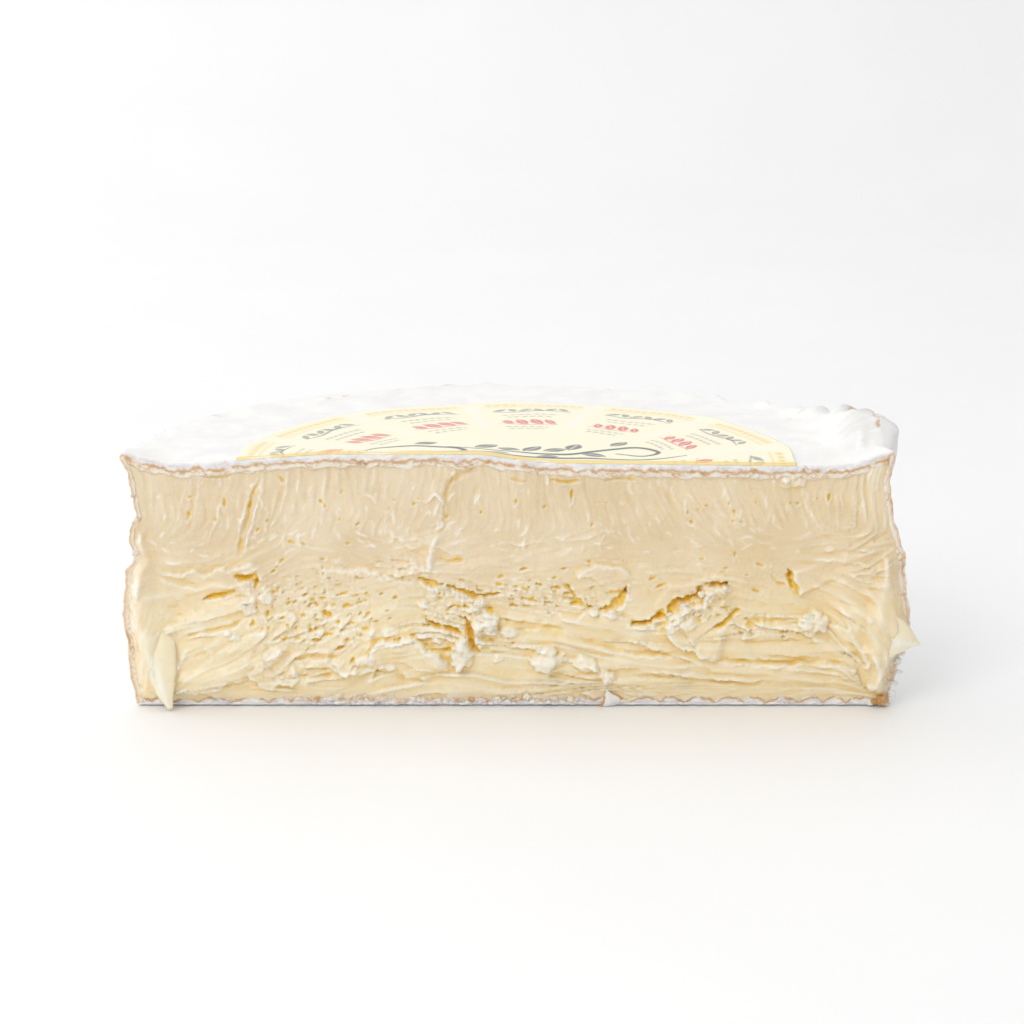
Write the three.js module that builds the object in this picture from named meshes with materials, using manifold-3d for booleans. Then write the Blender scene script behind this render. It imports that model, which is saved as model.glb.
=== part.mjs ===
// Half of a soft-ripened cheese wheel, cut straight down through the middle, with the half of
// its round paper label that is left on the top rind. Millimetres, +Z up. The cut face looks
// along -Y, the half stands on its flat underside, and the origin is the middle of the floor
// under the whole part.
import * as THREE from 'three';
import { mergeVertices } from 'three/addons/utils/BufferGeometryUtils.js';
import Module from 'manifold-3d';

// Driving dimensions.
const WHEEL_RADIUS = 100; // radius at the belly, the fullest height of the side
const WHEEL_HEIGHT = 67; // floor to the rim of the top rind
const RIM_ROUNDING = 3; // radius of the top and bottom edges of the rind
const BELLY_HEIGHT = 27;
const FOOT_INSET = 3; // how far the foot of the side stands in from the belly
const SIDE_HOLLOW = 2.2; // how far the side draws in between its belly and the top rim
const TOP_SAG = 1.2; // how far the middle of the top has sunk
const KNIFE_DIP = 3.2; // how far the knife dragged the top rind down near each end of the cut
const DIP_DEPTH = 9; // how far back from the cut that dip reaches
const DIP_WIDTH = 11; // its half width along the cut
const DIP_AT_LEFT = -82;
const DIP_AT_RIGHT = 76;
const TOP_ROLL = 0.25; // the top's slow roll, a hand-ladled cheese's own
const FLAP_LIFT = 3; // the loose stretch of rim at the back right stands this far up and out
const FLAP_ANGLE = 0.42; // where it is, round from the right-hand end of the cut, in radians
const FLAP_SPAN = 0.16; // its half width, in radians
const LABEL_RADIUS = 72;
const LABEL_OFFSET = 2.5; // the label sits this far to the right of the wheel's centre
const LABEL_THICKNESS = 0.4;
const LABEL_GAP = 0.3; // clearance between the paper and the rind that carries it
const CURL_LENGTH = 17; // the curl of paste that the knife pulled out at the right
const CURL_RADIUS = 4.2;
const CURL_FLATNESS = 0.55;
const CURL_DROOP = 0.12; // radians that its point looks down
const CURL_PLACE = [WHEEL_RADIUS - 1.5, 3.5, 19];
const TONGUE_LENGTH = 17; // the tongue of runny paste at the left end of the cut
const TONGUE_RADIUS = 5;
const TONGUE_FLATNESS = 0.6;
const TONGUE_PLACE = [-WHEEL_RADIUS + 12.5, -1.4, TONGUE_LENGTH / 2];

// Relief of the cut face: how far each form stands out, and the height it lies at.
const SMEAR_RISE = 1.8; // runny paste that the knife smeared over the lower half
const SMEAR_HEIGHT = 17;
const TEAR_DEPTH = 1.6; // the torn hollow along the middle
const TEAR_HEIGHT = 31;
const CORNER_RISE = 1.5; // the ends of the face, pushed out past the rind
const CORNER_HEIGHT = 28;
const CORNER_AT_LEFT = -97;
const CORNER_AT_RIGHT = 95;
const DRAG_RISE = 0.45; // strokes of the knife down the firm paste near the top
const DRAG_WAVE = 6.5; // their spacing, over two pi

// How fine the solids are.
const WHEEL_SEGMENTS = 104;
const SIDE_STEPS = 10;
const EDGE_STEPS = 3;
const TOP_RINGS = 9;
const LABEL_SEGMENTS = 96;
const KNIFE_STEP = 5; // grid of the cut face

const wasm = await Module();
wasm.setup();

function toSolid(geometry) {
  const bare = geometry.clone();
  bare.deleteAttribute('normal');
  bare.deleteAttribute('uv');
  const merged = mergeVertices(bare, 1e-4);
  return new wasm.Manifold(new wasm.Mesh({
    numProp: 3,
    vertProperties: merged.attributes.position.array,
    triVerts: new Uint32Array(merged.index.array),
  }));
}

function toGeometry(solid) {
  const mesh = solid.getMesh();
  const geometry = new THREE.BufferGeometry();
  geometry.setAttribute('position', new THREE.BufferAttribute(mesh.vertProperties, 3));
  geometry.setIndex(new THREE.BufferAttribute(mesh.triVerts, 1));
  geometry.computeVertexNormals();
  return geometry;
}

// Moves every vertex of a geometry by a function of its place.
function reshape(geometry, move) {
  const position = geometry.attributes.position;
  const point = new THREE.Vector3();
  for (let i = 0; i < position.count; i += 1) {
    point.fromBufferAttribute(position, i);
    move(point);
    position.setXYZ(i, point.x, point.y, point.z);
  }
  return geometry;
}

const smoothstep = THREE.MathUtils.smoothstep;
const bump = (distance, width) => Math.exp(-((distance / width) ** 2));

// Radius of the side at a height, before the wheel's own unevenness.
function sideRadius(z) {
  const foot = FOOT_INSET * (1 - smoothstep(z, 0, BELLY_HEIGHT));
  const hollow = SIDE_HOLLOW * bump(z - 0.75 * WHEEL_HEIGHT, 0.2 * WHEEL_HEIGHT);
  return WHEEL_RADIUS - foot - hollow;
}

// A hand-ladled cheese is never quite round: its outline wanders by about a millimetre.
function unevenness(angle, z) {
  const lean = z / WHEEL_HEIGHT;
  const slow = 0.7 * Math.sin(3 * angle + 0.4) + 0.5 * Math.sin(5 * angle + 2.1 + lean);
  return slow + 0.35 * Math.sin(11 * angle + 1.3 + 2 * lean);
}

// Where the rim's loose flap of rind is: 1 at its middle, 0 away from it.
function flapAt(angle, radius) {
  return bump(angle - FLAP_ANGLE, FLAP_SPAN) * smoothstep(radius, 0.84 * WHEEL_RADIUS, WHEEL_RADIUS);
}

// How far the top rind lies below the rim: sunk in the middle, dragged down by the knife near
// each end of the cut, and slightly rolling.
function topDrop(x, y) {
  const radius = Math.hypot(x, y);
  const inside = 1 - smoothstep(radius, 0.85 * WHEEL_RADIUS, 0.98 * WHEEL_RADIUS);
  const sunk = TOP_SAG * (1 - smoothstep(radius, 0.3 * WHEEL_RADIUS, 0.9 * WHEEL_RADIUS));
  const ends = bump(x - DIP_AT_LEFT, DIP_WIDTH) + bump(x - DIP_AT_RIGHT, DIP_WIDTH);
  const dragged = KNIFE_DIP * bump(y, DIP_DEPTH) * ends;
  const rolling = TOP_ROLL + TOP_ROLL * Math.sin(x / 13 + 1) * Math.cos(y / 11);
  return sunk + (dragged + rolling) * inside;
}

// The whole wheel: a turned body with rounded rims, then made as uneven as a real one.
function wholeWheel() {
  const profile = [new THREE.Vector2(0, 0)];
  const addRim = (centreZ, firstTurn) => {
    const centreRadius = sideRadius(centreZ) - RIM_ROUNDING;
    for (let i = 0; i <= EDGE_STEPS; i += 1) {
      const turn = firstTurn + (i / EDGE_STEPS) * (Math.PI / 2);
      profile.push(new THREE.Vector2(
        centreRadius + RIM_ROUNDING * Math.cos(turn),
        centreZ + RIM_ROUNDING * Math.sin(turn)));
    }
  };
  addRim(RIM_ROUNDING, -Math.PI / 2);
  const sideHeight = WHEEL_HEIGHT - 2 * RIM_ROUNDING;
  for (let i = 1; i < SIDE_STEPS; i += 1) {
    const z = RIM_ROUNDING + (i / SIDE_STEPS) * sideHeight;
    profile.push(new THREE.Vector2(sideRadius(z), z));
  }
  addRim(WHEEL_HEIGHT - RIM_ROUNDING, 0);
  const topRadius = profile[profile.length - 1].x;
  for (let i = TOP_RINGS - 1; i >= 0; i -= 1) {
    profile.push(new THREE.Vector2((topRadius * i) / TOP_RINGS, WHEEL_HEIGHT));
  }
  const wheel = new THREE.LatheGeometry(profile, WHEEL_SEGMENTS);
  wheel.rotateX(Math.PI / 2); // the lathe turns about Y, and the wheel stands about Z
  return reshape(wheel, (p) => {
    const angle = Math.atan2(p.y, p.x);
    const radius = Math.hypot(p.x, p.y);
    const raised = smoothstep(p.z, 0.7 * WHEEL_HEIGHT, WHEEL_HEIGHT);
    const flap = FLAP_LIFT * flapAt(angle, radius) * raised;
    const grow = radius > 1 ? 1 + (unevenness(angle, p.z) + flap) / WHEEL_RADIUS : 1;
    const drop = topDrop(p.x, p.y) * smoothstep(p.z, 0.8 * WHEEL_HEIGHT, WHEEL_HEIGHT);
    p.set(p.x * grow, p.y * grow, p.z - drop + flap);
  });
}

// How far the torn, smeared cut face stands out (towards -Y) from the plane of the cut.
function cutRelief(x, z) {
  const smear = SMEAR_RISE * bump(z - SMEAR_HEIGHT, 13) * (0.8 + 0.2 * Math.sin(x / 17 + 0.5));
  const tearAt = TEAR_HEIGHT - 4 * Math.sin(x / 30);
  const tear = -TEAR_DEPTH * bump(z - tearAt, 5) * bump(x - 22, 48);
  const ends = bump(x - CORNER_AT_LEFT, 9) + bump(x - CORNER_AT_RIGHT, 11);
  const corners = CORNER_RISE * ends * bump(z - CORNER_HEIGHT, 22);
  const drag = DRAG_RISE * Math.sin(x / DRAG_WAVE + 0.12 * z) * smoothstep(z, 30, 45);
  return smear + tear + corners + drag;
}

// The block of space that the knife took away, with a back face in the shape of the torn cut.
function knifeBlock() {
  const width = 2.3 * WHEEL_RADIUS;
  const depth = 1.4 * WHEEL_RADIUS;
  const height = 1.4 * WHEEL_HEIGHT;
  const columns = Math.round(width / KNIFE_STEP);
  const rows = Math.round(height / KNIFE_STEP);
  const block = new THREE.BoxGeometry(width, depth, height, columns, 1, rows);
  block.translate(0, -depth / 2, WHEEL_HEIGHT / 2);
  return reshape(block, (p) => {
    if (p.y > -1) p.y = -cutRelief(p.x, p.z);
  });
}

// A pointed curl of paste that the knife pulled out past the right-hand side.
function pulledCurl() {
  const curl = new THREE.ConeGeometry(CURL_RADIUS, CURL_LENGTH, 10, 2);
  curl.scale(1, 1, CURL_FLATNESS);
  curl.rotateZ(-Math.PI / 2 - CURL_DROOP); // the point looks along +X
  curl.translate(...CURL_PLACE);
  return curl;
}

// A tongue of runny paste that hangs down the left end of the cut, with its tip on the floor.
function hangingTongue() {
  const tongue = new THREE.ConeGeometry(TONGUE_RADIUS, TONGUE_LENGTH, 12, 2);
  tongue.rotateX(-Math.PI / 2); // point down, after the cone's axis is laid along Z
  tongue.scale(1, TONGUE_FLATNESS, 1);
  tongue.translate(...TONGUE_PLACE);
  return tongue;
}

const knife = toSolid(knifeBlock());

function makeCheese() {
  const half = toSolid(wholeWheel()).subtract(knife);
  return toGeometry(half.add(toSolid(pulledCurl())).add(toSolid(hangingTongue())));
}

// The label is the layer between two lifted copies of the top rind, within its round outline,
// so it lies on the rind at the same gap everywhere. The cut went through it too.
function makeLabel() {
  const lifted = (height) => toSolid(wholeWheel().translate(0, 0, height));
  const outline = new THREE.CylinderGeometry(
    LABEL_RADIUS, LABEL_RADIUS, WHEEL_HEIGHT, LABEL_SEGMENTS);
  outline.rotateX(Math.PI / 2);
  outline.translate(LABEL_OFFSET, 0, WHEEL_HEIGHT);
  const layer = lifted(LABEL_GAP + LABEL_THICKNESS).subtract(lifted(LABEL_GAP));
  return toGeometry(layer.intersect(toSolid(outline)).subtract(knife));
}

const cheeseFinish = new THREE.MeshStandardMaterial({
  name: 'soft_paste_and_bloomy_rind', color: 0xf0e4cb, roughness: 0.5, metalness: 0 });
const labelFinish = new THREE.MeshStandardMaterial({
  name: 'label_paper', color: 0xfaf5df, roughness: 0.7, metalness: 0 });

const group = new THREE.Group();

function addNode(name, geometry, material) {
  const mesh = new THREE.Mesh(geometry, material);
  mesh.name = name;
  group.add(mesh);
}

addNode('cheese_half', makeCheese(), cheeseFinish);
addNode('paper_label', makeLabel(), labelFinish);

// The wheel was made about its own axis; the half is set down with the middle of its box's
// floor at the origin.
const box = new THREE.Box3().setFromObject(group, true);
const middle = box.getCenter(new THREE.Vector3());
group.position.set(-middle.x, -middle.y, -box.min.z);

export default group;
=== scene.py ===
"""Half of a soft-ripened cheese wheel: torn and smeared paste, bloomy rind and paper label.

Every length in this file is in millimetres until to_frame turns it into metres. A place on the
half is (x, depth, z): x runs along the cut from the wheel's axis to the right, depth runs from
the cut face back into the half, and z is the height above the table.
"""
import math
import random

import bmesh
import bpy
import numpy as np
from bpy.props import FloatProperty, FloatVectorProperty, PointerProperty
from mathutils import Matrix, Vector, noise


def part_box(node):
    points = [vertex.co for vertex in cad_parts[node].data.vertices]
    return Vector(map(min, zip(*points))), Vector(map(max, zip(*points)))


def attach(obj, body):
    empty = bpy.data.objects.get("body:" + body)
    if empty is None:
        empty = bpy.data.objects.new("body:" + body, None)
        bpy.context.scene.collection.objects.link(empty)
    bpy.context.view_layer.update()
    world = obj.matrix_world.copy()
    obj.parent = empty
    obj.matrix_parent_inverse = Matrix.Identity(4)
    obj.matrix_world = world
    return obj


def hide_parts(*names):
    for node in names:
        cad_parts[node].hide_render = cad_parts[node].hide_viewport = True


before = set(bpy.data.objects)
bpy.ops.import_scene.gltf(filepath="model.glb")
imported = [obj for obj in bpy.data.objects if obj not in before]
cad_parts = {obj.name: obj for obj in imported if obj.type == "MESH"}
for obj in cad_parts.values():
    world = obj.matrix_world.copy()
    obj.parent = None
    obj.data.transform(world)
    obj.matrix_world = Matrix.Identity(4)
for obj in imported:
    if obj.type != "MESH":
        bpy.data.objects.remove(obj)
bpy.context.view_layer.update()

bl_info = {
    "name": "Half Cheese Wheel",
    "version": (1, 0, 0),
    "blender": (4, 5, 0),
    "location": "View3D > Sidebar > Cheese",
    "description": "Builds a cut soft-ripened cheese wheel with its rind, label and crumbs",
    "category": "Add Mesh",
}

MM = 0.001
BODY = "root"
FINISH_OF = {"soft_paste": "ripened_cream_paste", "bloomy_rind": "white_mould_bloom"}

# The wheel's place and size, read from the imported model.
LABEL_SHIFT = 2.5  # the label's centre lies this far to the right of the wheel's axis
LABEL_EDGE_PROUD = 0.45  # the label's cut edge stands this far out of the plane of the cut
LABEL_SHARE = 0.72  # the label's radius as a share of the wheel's
LABEL_RISE = 0.35  # the label's highest place lies this far above the wheel's smooth top
LABEL_LOW, LABEL_HIGH = (np.array(corner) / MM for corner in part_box("paper_label"))
LABEL_RADIUS = (LABEL_HIGH[0] - LABEL_LOW[0]) / 2
AXIS_X = (LABEL_HIGH[0] + LABEL_LOW[0]) / 2 - LABEL_SHIFT
CUT_Y = LABEL_LOW[1] + LABEL_EDGE_PROUD
RADIUS = LABEL_RADIUS / LABEL_SHARE
HEIGHT = LABEL_HIGH[2] - LABEL_RISE


def linear(code):
    """Turns an sRGB hex colour such as "#f4e6c8" into linear red, green and blue."""
    parts = [int(code[i:i + 2], 16) / 255 for i in (1, 3, 5)]
    return tuple(c / 12.92 if c <= 0.04045 else ((c + 0.055) / 1.055) ** 2.4 for c in parts)


def to_frame(x, depth, z):
    """Places on the half, in millimetres, as an array of points in the frame, in metres."""
    x, depth, z = np.broadcast_arrays(x, depth, z)
    return np.stack([AXIS_X + x, CUT_Y + depth, z], axis=-1).reshape(-1, 3) * MM


# ------------------------------------------------------------------------- patterns


def bump(distance, width):
    """A smooth hill of height 1, one width from its middle to where it has mostly gone."""
    return np.exp(-((distance / width) ** 2))


def step(value, low, high):
    """Rises smoothly from 0 at low to 1 at high."""
    t = np.clip((np.asarray(value, float) - low) / (high - low), 0, 1)
    return t * t * (3 - 2 * t)


def hashed(ix, iy, seed):
    """A repeatable value from 0 to 1 for each whole-numbered place."""
    n = ix.astype(np.int64) * 374761393 + iy.astype(np.int64) * 668265263 + seed * 974634777
    n = (n ^ (n >> 13)) * 1274126177 & 0xFFFFFFFF
    return ((n ^ (n >> 16)) & 0xFFFF) / 65535.0


def swirl(u, v, seed):
    """Gradient noise, about -1 to 1, with features one unit across."""
    iu, iv = np.floor(u), np.floor(v)
    fu, fv = u - iu, v - iv

    def slope(du, dv):
        angle = hashed(iu + du, iv + dv, seed) * 2 * math.pi
        return np.cos(angle) * (fu - du) + np.sin(angle) * (fv - dv)

    su, sv = fu ** 3 * (fu * (fu * 6 - 15) + 10), fv ** 3 * (fv * (fv * 6 - 15) + 10)
    low = slope(0, 0) * (1 - su) + slope(1, 0) * su
    high = slope(0, 1) * (1 - su) + slope(1, 1) * su
    return 1.5 * (low * (1 - sv) + high * sv)


def layers(u, v, seed, octaves=4, gain=0.5):
    """Noise in several sizes, each half as large as the one before."""
    total, weight = 0, 1.0
    for octave in range(octaves):
        total = total + weight * swirl(u * 2 ** octave, v * 2 ** octave, seed + octave)
        weight *= gain
    return total


def creases(u, v, seed, octaves=3):
    """Noise made of sharp ridges: 1 on a ridge, falling to about -1 between ridges."""
    total, weight = 0, 1.0
    for octave in range(octaves):
        fold = 1 - 2 * np.abs(swirl(u * 2 ** octave, v * 2 ** octave, seed + octave))
        total, weight = total + weight * fold, weight * 0.5
    return total / 1.75  # the weights of three octaves come to this


def grains(u, v, seed):
    """Distance to the nearest of a scatter of points, one to each unit square."""
    iu, iv = np.floor(u), np.floor(v)
    nearest = np.full(np.shape(u), 9.0)
    for du in (-1, 0, 1):
        for dv in (-1, 0, 1):
            px = iu + du + 0.15 + 0.7 * hashed(iu + du, iv + dv, seed)
            py = iv + dv + 0.15 + 0.7 * hashed(iu + du, iv + dv, seed + 51)
            nearest = np.minimum(nearest, np.hypot(u - px, v - py))
    return nearest


def soften(grid, reach):
    """Blurs a grid of heights by about reach cells, keeping its edges."""
    reach = max(1, int(round(reach)))
    kernel = np.exp(-np.linspace(-1.8, 1.8, 2 * reach + 1) ** 2)
    kernel /= kernel.sum()
    for axis in (0, 1):
        pads = [(reach, reach) if axis == a else (0, 0) for a in (0, 1)]
        padded = np.pad(grid, pads, mode="edge")
        grid = sum(w * np.roll(padded, reach - i, axis=axis) for i, w in enumerate(kernel))
        grid = grid[reach:-reach, :] if axis == 0 else grid[:, reach:-reach]
    return grid


def leaning(x, y, degrees, length, width):
    """Places along and across something that leans, as shares of its half length and width."""
    turn = math.radians(degrees)
    along = (x * math.cos(turn) + y * math.sin(turn)) / length
    return along, (y * math.cos(turn) - x * math.sin(turn)) / width


def curve_through(points, pieces=6):
    """A smooth curve through a few points, as an array with several pieces to each span."""
    p = np.array(points, float)
    p = np.vstack([2 * p[0] - p[1], p, 2 * p[-1] - p[-2]])
    t = np.linspace(0, 1, pieces, endpoint=False)[:, None]
    spans = []
    for a, b, c, d in zip(p, p[1:], p[2:], p[3:]):
        cubic = (2 * a - 5 * b + 4 * c - d) * t ** 2 + (3 * b - a - 3 * c + d) * t ** 3
        spans.append(0.5 * (2 * b + (c - a) * t + cubic))
    return np.vstack(spans + [p[-2][None]])


def beside(path, x, z):
    """How far places lie to the left of a curve (negative to the right), and how far along."""
    line = curve_through(path)
    lengths = np.hypot(*(line[1:] - line[:-1]).T)
    starts = np.concatenate([[0], np.cumsum(lengths)])
    best = np.full(x.shape, 1e9)
    signed, along = np.zeros(x.shape), np.zeros(x.shape)
    for i, ((ax, az), (bx, bz)) in enumerate(zip(line[:-1], line[1:])):
        dx, dz = (bx - ax) / lengths[i], (bz - az) / lengths[i]
        t = np.clip((x - ax) * dx + (z - az) * dz, 0, lengths[i])
        px, pz = x - ax - t * dx, z - az - t * dz
        far = np.hypot(px, pz)
        closer = far < best
        side = np.where(dx * pz - dz * px >= 0, 1.0, -1.0)
        best = np.where(closer, far, best)
        signed = np.where(closer, side * far, signed)
        along = np.where(closer, (starts[i] + t) / starts[-1], along)
    return signed, along


# ----------------------------------------------------------------- the wheel's outside

# Half width of the cut section at each height: (height, distance from the axis).
RIGHT_SIDE = [(0, 99.5), (5, 100.6), (11, 102), (16, 103), (22, 105), (27, 104.4), (33, 103.4),
              (40, 103), (44, 102), (49, 100), (54, 99.2), (59, 98.3), (63, 98.9), (67, 99.8)]
LEFT_SIDE = [(0, 97), (5, 97.8), (11, 98.9), (17, 98.8), (22, 99.9), (30, 99.6), (37, 98.6),
             (40, 96.2), (44, 97.6), (48, 97.3), (51, 95.4), (56, 96.4), (61, 97), (67, 99.8)]
# Height of the top along the cut: (x, height).
CUT_TOP = [(-100, 68.6), (-96, 67.8), (-92, 66.2), (-83, 65), (-75, 65.7), (-62, 66.7),
           (-45, 67.7), (-25, 67.6), (-6, 67.7), (3, 66.2), (14, 65.3), (40, 65), (72, 64.6),
           (86, 64.7), (92, 66), (97, 68.2), (101, 68.8)]


RIM_ROUND = 3.4  # radius of the rounded rim and foot
RIM_SHARPER = 2.0  # how much smaller that radius is at the cut
FLAP_HEIGHT = 5.4  # how far the loose sheet of rind stands up
FLAP_LEAN = 0.055  # how far it leans out, as a share of the radius


def follow(points, value):
    """A smooth line through a list of (place, height)."""
    places, heights = np.array(points, float).T
    fine = np.linspace(places[0], places[-1], 400)
    line = np.interp(fine, places, heights)
    line = np.convolve(np.pad(line, 6, mode="edge"), np.full(13, 1 / 13), mode="valid")
    return np.interp(value, fine, line)


def side_radius(theta, z):
    """Radius of the wheel's side, with the bulges that the knife pushed out near the cut."""
    foot = 3 * (1 - step(z, 0, 27))
    hollow = 2.2 * bump(z - 0.75 * HEIGHT, 0.2 * HEIGHT)
    uneven = 0.7 * np.sin(3 * theta + 0.4) + 0.5 * np.sin(5 * theta + 2.1 + z / HEIGHT)
    radius = RADIUS - foot - hollow + uneven + 0.35 * np.sin(11 * theta + 1.3 + z / 33)
    for angle, outline in ((0, RIGHT_SIDE), (math.pi, LEFT_SIDE)):
        near = bump(theta - angle, 0.2)
        radius = radius * (1 - near) + near * follow(outline, z)
    return radius


def flap_rise(x, depth):
    """The loose sheet of rind that stands up along the rim at the back right, 0 to 1."""
    theta, radius = np.arctan2(depth, x), np.hypot(x, depth)
    along = step(theta, 0.10, 0.19) * (1 - step(theta, 0.54, 0.70))
    return along * step(radius + 4 * np.sin(9 * theta), 88, 99)


def top_height(x, depth):
    """Height of the top rind: dragged down by the knife at the cut, sunk in the middle."""
    radius = np.hypot(x, depth)
    inside = 1 - step(radius, 84, 97)
    field = HEIGHT - 1.2 * (1 - step(radius, 30, 90)) - 0.3 * inside
    field = field + inside * 0.35 * swirl(x / 23, depth / 19, 3)
    near = bump(depth, 9)
    return field * (1 - near) + near * follow(CUT_TOP, x) + FLAP_HEIGHT * flap_rise(x, depth)


def outside(p, theta):
    """A place on the skin. p is 0 to 1 over the top, 1 to 2 round the top rim, 2 to 3 down
    the side, 3 to 4 round the foot and 4 to 5 back under the bottom to the axis."""
    p, theta = np.broadcast_arrays(np.asarray(p, float), np.asarray(theta, float))
    at_cut = bump(theta, 0.12) + bump(theta - math.pi, 0.12)
    rim = RIM_ROUND - RIM_SHARPER * at_cut
    rim_height = HEIGHT - rim
    edge = side_radius(theta, rim_height) - rim
    foot_edge = side_radius(theta, rim) - rim
    turn = np.clip(p - 1, 0, 1) * math.pi / 2
    fold = np.clip(p - 3, 0, 1) * math.pi / 2
    height = np.where(p < 2, HEIGHT, rim_height + (p - 2) * (rim - rim_height))
    radius = np.where(p < 1, p * edge, edge + rim * np.sin(turn))
    radius = np.where(p > 2, side_radius(theta, np.clip(height, 0, HEIGHT)), radius)
    radius = np.where(p > 3, foot_edge + rim * np.cos(fold), radius)
    radius = np.where(p > 4, (5 - p) * foot_edge, radius)
    x, depth = radius * np.cos(theta), radius * np.sin(theta)
    lifted = top_height(np.clip(radius, 0, edge) * np.cos(theta), depth) - HEIGHT
    lean = np.clip((height - 0.55 * HEIGHT) / (0.45 * HEIGHT), 0, 1) ** 2
    z = np.where(p < 2, HEIGHT + lifted - rim * (1 - np.cos(turn)), height + lifted * lean)
    z = np.where(p > 3, rim * (1 - np.sin(fold)), z)
    out = 1 + FLAP_LEAN * flap_rise(x, depth) * step(p, 0.8, 1.6) * (1 - step(p, 2.0, 2.5))
    return x * out, depth * out, z


def cut_outline(spacing):
    """The edge of the cut section as a closed loop from the middle of the top to the right:
    x, z, the direction inwards (x, z), and the way along the skin p of each point."""
    half = 4000  # points on each side, before they are spaced evenly
    way = np.concatenate([np.linspace(0, 5, half), np.linspace(5, 0, half)[1:-1]])
    theta = np.concatenate([np.zeros(half), np.full(half - 2, math.pi)])
    x, _, z = outside(way, theta)
    lengths = np.hypot(np.diff(x, append=x[0]), np.diff(z, append=z[0]))
    along = np.concatenate([[0], np.cumsum(lengths)])
    count = int(along[-1] / spacing)
    places = np.linspace(0, along[-1], count, endpoint=False)
    x, z = (np.interp(places, along, np.append(line, line[0])) for line in (x, z))
    way = np.interp(places, along, np.append(way, 0))
    reach = 5  # the direction comes from the points this many places before and after
    dx, dz = (np.roll(line, -reach) - np.roll(line, reach) for line in (x, z))
    size = np.hypot(dx, dz)
    return x, z, dz / size, -dx / size, way


# ------------------------------------------------------------------------- mesh making


def finish_mesh(name, mesh, marks):
    """An object with smooth faces and an attribute for each mark: one value for the whole
    mesh, a value for each point or a colour for each point."""
    for mark, values in marks.items():
        if np.ndim(values) == 2:
            whole = np.column_stack([values, np.ones(len(values))]).astype(np.float32)
            layer = mesh.attributes.new(mark, "FLOAT_COLOR", "POINT")
            layer.data.foreach_set("color", whole.ravel())
        else:
            layer = mesh.attributes.new(mark, "FLOAT", "POINT")
            layer.data.foreach_set("value", np.full(len(mesh.vertices), values, np.float32))
    mesh.shade_smooth()
    mesh.validate()
    piece = bpy.data.objects.new(name, mesh)
    bpy.context.scene.collection.objects.link(piece)
    return piece


def make_mesh(name, points, faces, marks=None):
    """A mesh object made of points in the frame and faces between them."""
    mesh = bpy.data.meshes.new(name)
    mesh.from_pydata(points.tolist(), [], faces)
    return finish_mesh(name, mesh, marks or {})


def quads(*corners):
    """Faces with four corners, each corner given as an array of point numbers."""
    return np.stack(corners, axis=-1).reshape(-1, 4).tolist()


def band(first, second):
    """Quads between two closed loops of point numbers."""
    return quads(first, second, np.roll(second, -1), np.roll(first, -1))


def grid_faces(rows, columns, start=0, closed=False):
    """Quads between the rows and columns of a grid of points, wrapping round if closed."""
    r = np.arange(rows - 1)[:, None] * columns + start
    c = np.arange(columns if closed else columns - 1)[None, :]
    n = (c + 1) % columns
    return quads(r + c, r + n, r + columns + n, r + columns + c)


def face_out(piece):
    """Welds what coincides and turns every face to look out of the closed mesh."""
    work = bmesh.new()
    work.from_mesh(piece.data)
    bmesh.ops.remove_doubles(work, verts=work.verts, dist=2e-6)
    bmesh.ops.recalc_face_normals(work, faces=work.faces)
    work.to_mesh(piece.data)
    work.free()
    piece.data.shade_smooth()


def settle(piece, material, node):
    """Gives a finished piece its material and its body, and hides the CAD node that it stands for.
    """
    piece.data.materials.append(material)
    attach(piece, BODY)
    if node:
        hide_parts(node)


# ------------------------------------------------------------------------- materials

FACTOR, COLOUR_A, COLOUR_B = 0, 6, 7  # inputs of a Mix node that mixes colours
MIXED = 2  # its output


def add(tree, kind, inputs=None, **settings):
    """Adds a shader node; an input is either a value or the output that feeds it."""
    node = tree.nodes.new("ShaderNode" + kind)
    for name, value in settings.items():
        setattr(node, name, value)
    for name, value in (inputs or {}).items():
        if isinstance(value, bpy.types.NodeSocket):
            tree.links.new(value, node.inputs[name])
        else:
            node.inputs[name].default_value = value
    return node


def per_mm(size):
    """Noise scale that makes features about this many millimetres across."""
    return 1 / (size * MM)


def new_material(name, constants):
    """A material, its tree, its shader with the inputs that are the same all over, and where
    each place is on the object."""
    material = bpy.data.materials.new(name)
    material.use_nodes = True
    tree = material.node_tree
    shader = tree.nodes["Principled BSDF"]
    for socket, value in constants.items():
        shader.inputs[socket].default_value = value
    return material, tree, shader, add(tree, "TexCoord").outputs["Object"]


def patchy(tree, where, size, detail, low, high, least=0.0, most=1.0):
    """Noise with features size mm across: least where it is below low, most above high."""
    noise_node = add(tree, "TexNoise", {"Vector": where, "Scale": per_mm(size),
                                        "Detail": detail})
    spread = add(tree, "MapRange", {"Value": noise_node.outputs["Fac"], "From Min": low,
                                    "From Max": high, "To Min": least, "To Max": most})
    return spread.outputs["Result"]


def fine_relief(tree, shader, where, size, detail, strength, depth, roughness=0.5):
    """Fine bumps, such as curd or felt, size mm across and depth mm deep."""
    noise_node = add(tree, "TexNoise", {"Vector": where, "Scale": per_mm(size),
                                        "Detail": detail, "Roughness": roughness})
    relief = add(tree, "Bump", {"Height": noise_node.outputs["Fac"], "Strength": strength,
                                "Distance": depth * MM})
    tree.links.new(relief.outputs["Normal"], shader.inputs["Normal"])


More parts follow.
